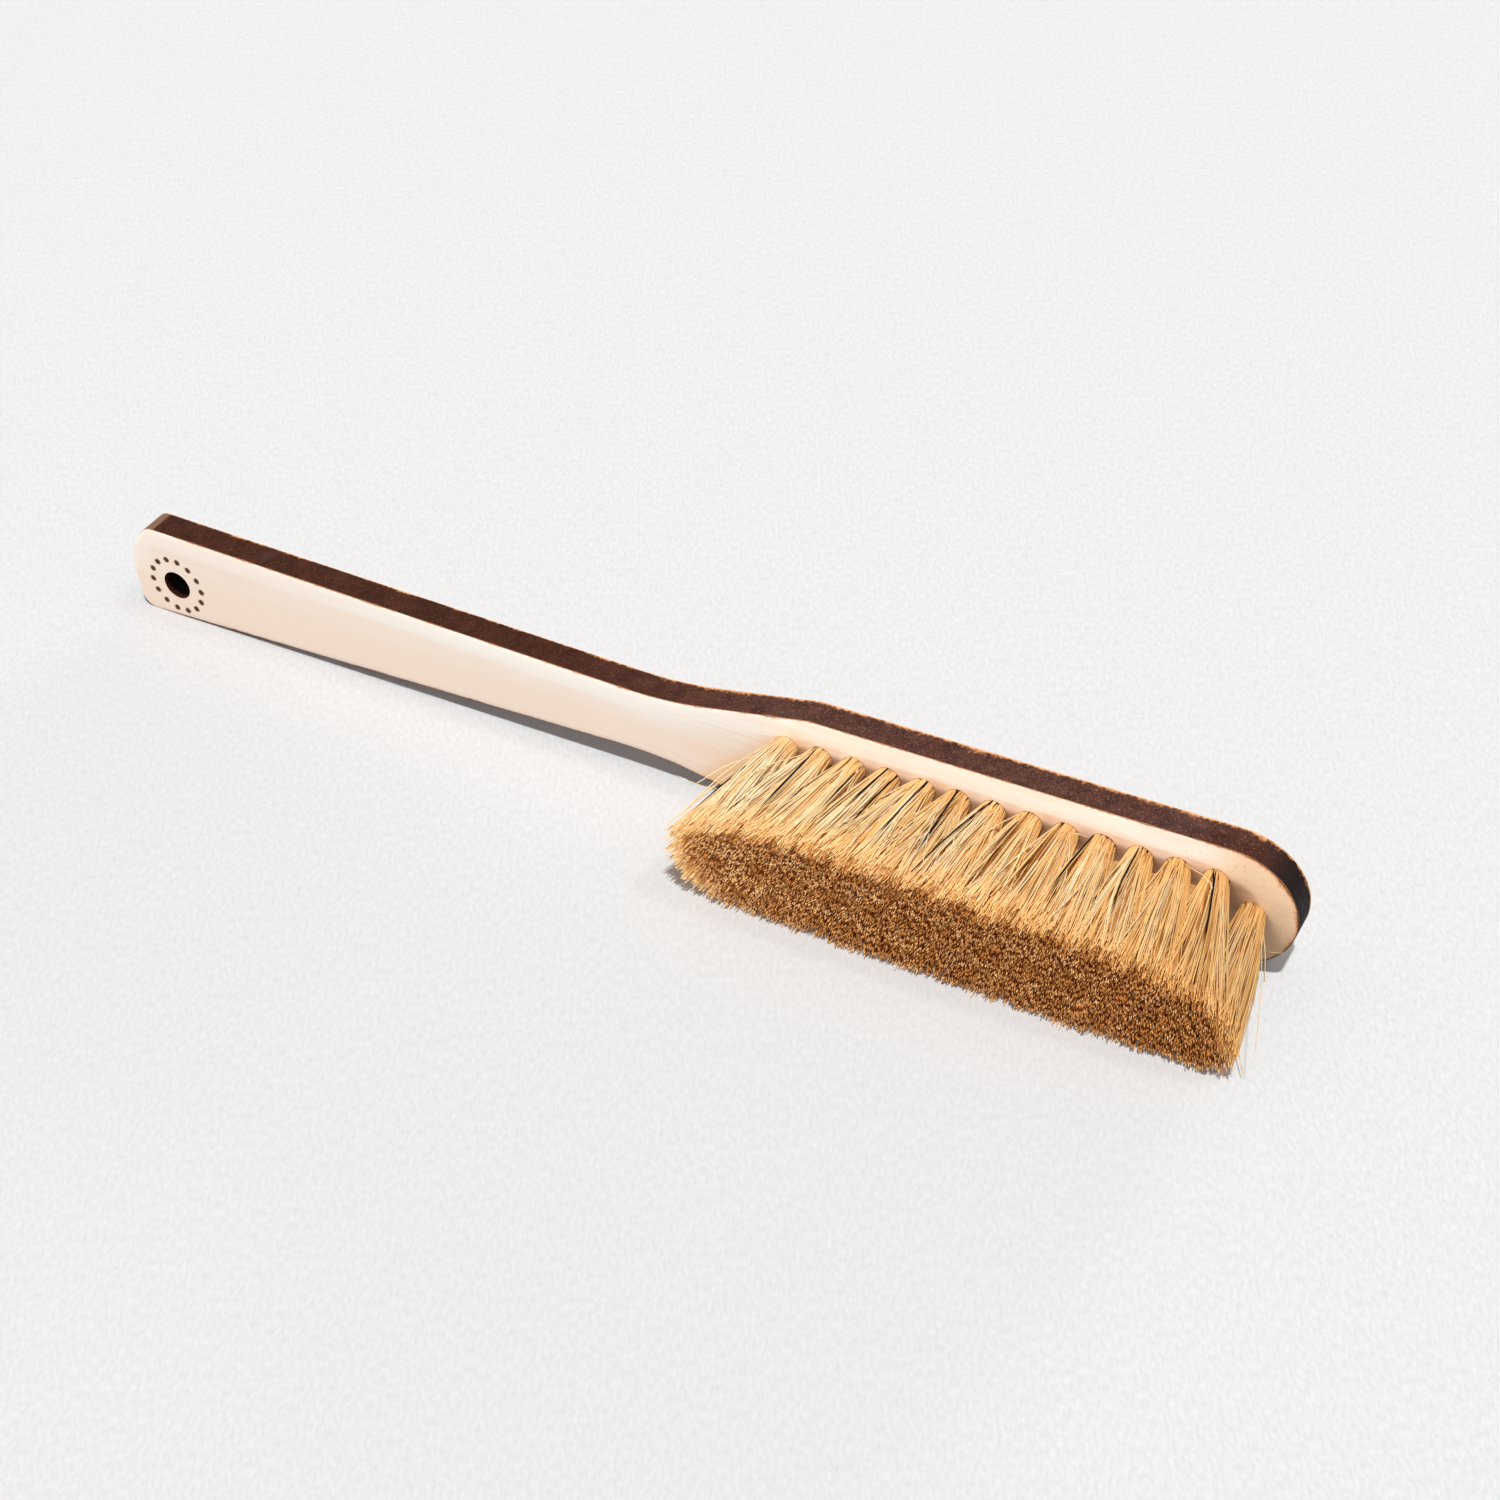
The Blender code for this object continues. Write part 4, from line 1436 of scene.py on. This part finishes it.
def smooth_path(points, steps):
    """Points along a curve through the given places."""
    points = np.array(points)
    points = np.concatenate([[2 * points[0] - points[1]], points, [2 * points[-1] - points[-2]]])
    places = []
    for value in np.linspace(0, len(points) - 3, steps):
        k = min(int(value), len(points) - 4)
        t = value - k
        a, b, c, d = points[k : k + 4]
        curve = (3 * b - a - 3 * c + d) * t**3 + (2 * a - 5 * b + 4 * c - d) * t**2 + (c - a) * t + 2 * b
        places.append(curve / 2)
    return np.array(places)


def make_stray_hairs(material, tuft, top):
    """The few loose hairs that stand off the tufts."""
    path = np.stack([smooth_path(points, STRAY_STEPS) for points in STRAY_HAIRS])
    path[:, :, 2] -= top
    count = len(path)
    along = np.linspace(0, STRAY_END, STRAY_STEPS)
    tone = np.linspace(*STRAY_TONES, count)
    radius = np.full(count, tuft.diameter / 2)
    part = tube_part(path, along, radius, tone, np.full(count, -1.0), np.zeros(count))
    mesh = joined_mesh("stray_hairs", [part], top)
    mesh.materials.append(material)
    piece = place_piece("stray_hairs", mesh)
    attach(piece, "root")


def make_tufts(tuft, top):
    """All tufts on the board's top, whose tips share the trimmed outline out among them."""
    places = tuft_places()
    outline = smooth_outline(TRIM_OUTLINE)
    draw = np.random.RandomState(tuft.seed)
    tips = spread_tips(tuft.count * len(places), outline)
    centres = np.array([tip_centre(x, y) for _, x, y in places])
    centres += draw.normal(0, CENTRE_DRIFT, centres.shape)
    owner = share_out(tips + draw.normal(0, CELL_BLUR, tips.shape), centres)
    trimmed = outline_distance(tips, outline)
    material = make_bristle_material(tuft)
    for i, (name, x, y) in enumerate(places):
        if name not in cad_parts:
            raise RuntimeError(f"the frame holds no node {name}")
        own = owner == i
        make_tuft(name, x, y, tips[own], trimmed[own], material, tuft.seed + 1 + i, tuft, top)
    make_stray_hairs(material, tuft, top)


# Stage: the camera, the floor, and where each light comes from with its size in degrees
CAMERA_PLACE = (0.26100, -0.38412, 0.41152)
CAMERA_TURN = (49.4649, 2.3727, 28.6697)
FLOOR_SIZE = 8.0
PLASTER_TURN = math.radians(28.67)
PLASTER_GRAIN = (0.0008, 0.0020, 1.0)
OVERHEAD = ((0.20, -0.25, 1.0), 3)
BEHIND = ((0.50, 0.20, 1.0), 6)
IN_FRONT = ((-0.40, -0.80, 0.40), 60)
AT_THE_REAR = ((0.10, 1.0, 0.04), 20)
STRAIGHT_ABOVE = ((0, 0, 1), 10)
LIFT_COLOR = (1.0, 0.64, 0.54)


def add_sun(name, toward, angle, strength):
    """A soft distant light that shines from the given direction."""
    data = bpy.data.lights.new(name, "SUN")
    data.energy = strength
    data.angle = math.radians(angle)
    lamp = place_piece(name, data)
    lamp.rotation_euler = Vector(toward).to_track_quat("Z", "Y").to_euler()
    return lamp


def make_floor(stage):
    """A plain pale floor with a faint plaster texture."""
    bm = bmesh.new()
    bmesh.ops.create_grid(bm, x_segments=1, y_segments=1, size=FLOOR_SIZE / 2)
    floor = place_piece("floor", mesh_from(bm, "floor"))
    material, tree, shader = new_material("Pale plaster", 0.9, 0.1)
    relief = noise_value(place_in(tree, (0, 0, 0), (0, 0, PLASTER_TURN), PLASTER_GRAIN), 1, 2, 0.6)
    plaster = blend(1.0, stage.floor, relief * 0.26 + 0.87, "MULTIPLY")
    put(blend(directly_seen(tree), stage.glow, plaster), shader["Base Color"])
    put_bump(relief, 0.3, 0.0002, shader)
    floor.data.materials.append(material)
    return floor


def share_light(lamp, floor, state):
    """Keep a lamp's light off the floor, or for the floor alone."""
    receivers = bpy.data.collections.new(f"{lamp.name}_receivers")
    receivers.objects.link(floor)
    receivers.collection_objects[0].light_linking.link_state = state
    lamp.light_linking.receiver_collection = receivers


def make_world(stage):
    """Even light all round, with the background's own colour where the camera sees it."""
    world = bpy.data.worlds.new("studio")
    world.use_nodes = True
    tree = world.node_tree
    light = tree.nodes["Background"]
    put(stage.ambient, light.inputs["Strength"])
    put((1, 1, 1), light.inputs["Color"])
    backdrop = tree.nodes.new("ShaderNodeBackground")
    put(stage.background, backdrop.inputs["Color"])
    mixer = tree.nodes.new("ShaderNodeMixShader")
    put(directly_seen(tree), mixer.inputs[0])
    tree.links.new(light.outputs[0], mixer.inputs[1])
    tree.links.new(backdrop.outputs[0], mixer.inputs[2])
    tree.links.new(mixer.outputs[0], tree.nodes["World Output"].inputs["Surface"])
    bpy.context.scene.world = world


def make_camera(stage):
    """The camera, at the photograph's viewing angle."""
    data = bpy.data.cameras.new("camera")
    data.lens = stage.lens
    data.clip_start = 0.01
    camera = place_piece("camera", data)
    camera.location = CAMERA_PLACE
    camera.rotation_euler = [math.radians(turn) for turn in CAMERA_TURN]
    bpy.context.scene.camera = camera


# Operators


class BRUSH_OT_stage(Operator):
    """Make the floor, the lights and the camera"""

    bl_idname = "brush.stage"
    bl_label = "Stage"

    def execute(self, context):
        stage = context.scene.brush_stage
        floor = make_floor(stage)
        make_world(stage)
        add_sun("overhead_light", *OVERHEAD, stage.key)
        add_sun("back_light", *BEHIND, stage.back)
        share_light(add_sun("front_light", *IN_FRONT, stage.fill), floor, "EXCLUDE")
        add_sun("rear_light", *AT_THE_REAR, stage.rear)
        lift = add_sun("floor_light", *STRAIGHT_ABOVE, stage.lift)
        lift.data.color = LIFT_COLOR
        lift.data.use_shadow = False
        share_light(lift, floor, "INCLUDE")
        make_camera(stage)
        context.scene.view_settings.view_transform = "Standard"
        return {"FINISHED"}


class BRUSH_OT_board(Operator):
    """Make the scorched handle board in the place of its node"""

    bl_idname = "brush.board"
    bl_label = "Handle board"

    def execute(self, context):
        make_speckle_group()
        make_grain_group()
        make_fringe_group()
        make_board(context.scene.brush_board)
        return {"FINISHED"}


class BRUSH_OT_tufts(Operator):
    """Make the bristle tufts in the place of their nodes"""

    bl_idname = "brush.tufts"
    bl_label = "Bristle tufts"

    def execute(self, context):
        make_tufts(context.scene.brush_tufts, context.scene.brush_board.thickness)
        return {"FINISHED"}


class BRUSH_PT_panel(Panel):
    """Sidebar panel that lists the brush's pieces and their settings"""

    bl_idname = "BRUSH_PT_panel"
    bl_label = "Climbing brush"
    bl_space_type = "VIEW_3D"
    bl_region_type = "UI"
    bl_category = "Brush"

    def draw(self, context):
        for operator, group in OPERATORS:
            column = self.layout.column(align=True)
            column.operator(operator.bl_idname)
            holder = getattr(context.scene, group)
            for name in type(holder).__annotations__:
                column.prop(holder, name)


GROUPS = {
    "brush_board": BoardSettings,
    "brush_tufts": TuftSettings,
    "brush_stage": StageSettings,
}
OPERATORS = (
    (BRUSH_OT_board, "brush_board"),
    (BRUSH_OT_tufts, "brush_tufts"),
    (BRUSH_OT_stage, "brush_stage"),
)


def register():
    """Register the settings, the operators and the panel."""
    for name, group in GROUPS.items():
        bpy.utils.register_class(group)
        setattr(bpy.types.Scene, name, PointerProperty(type=group))
    for operator, _ in OPERATORS:
        bpy.utils.register_class(operator)
    bpy.utils.register_class(BRUSH_PT_panel)


def unregister():
    """Take the settings, the operators and the panel away again."""
    bpy.utils.unregister_class(BRUSH_PT_panel)
    for operator, _ in OPERATORS:
        bpy.utils.unregister_class(operator)
    for name, group in GROUPS.items():
        delattr(bpy.types.Scene, name)
        bpy.utils.unregister_class(group)


def main():
    """Make every piece and the stage."""
    register()
    bpy.ops.brush.stage()
    bpy.ops.brush.board()
    bpy.ops.brush.tufts()


if __name__ == "__main__":
    main()
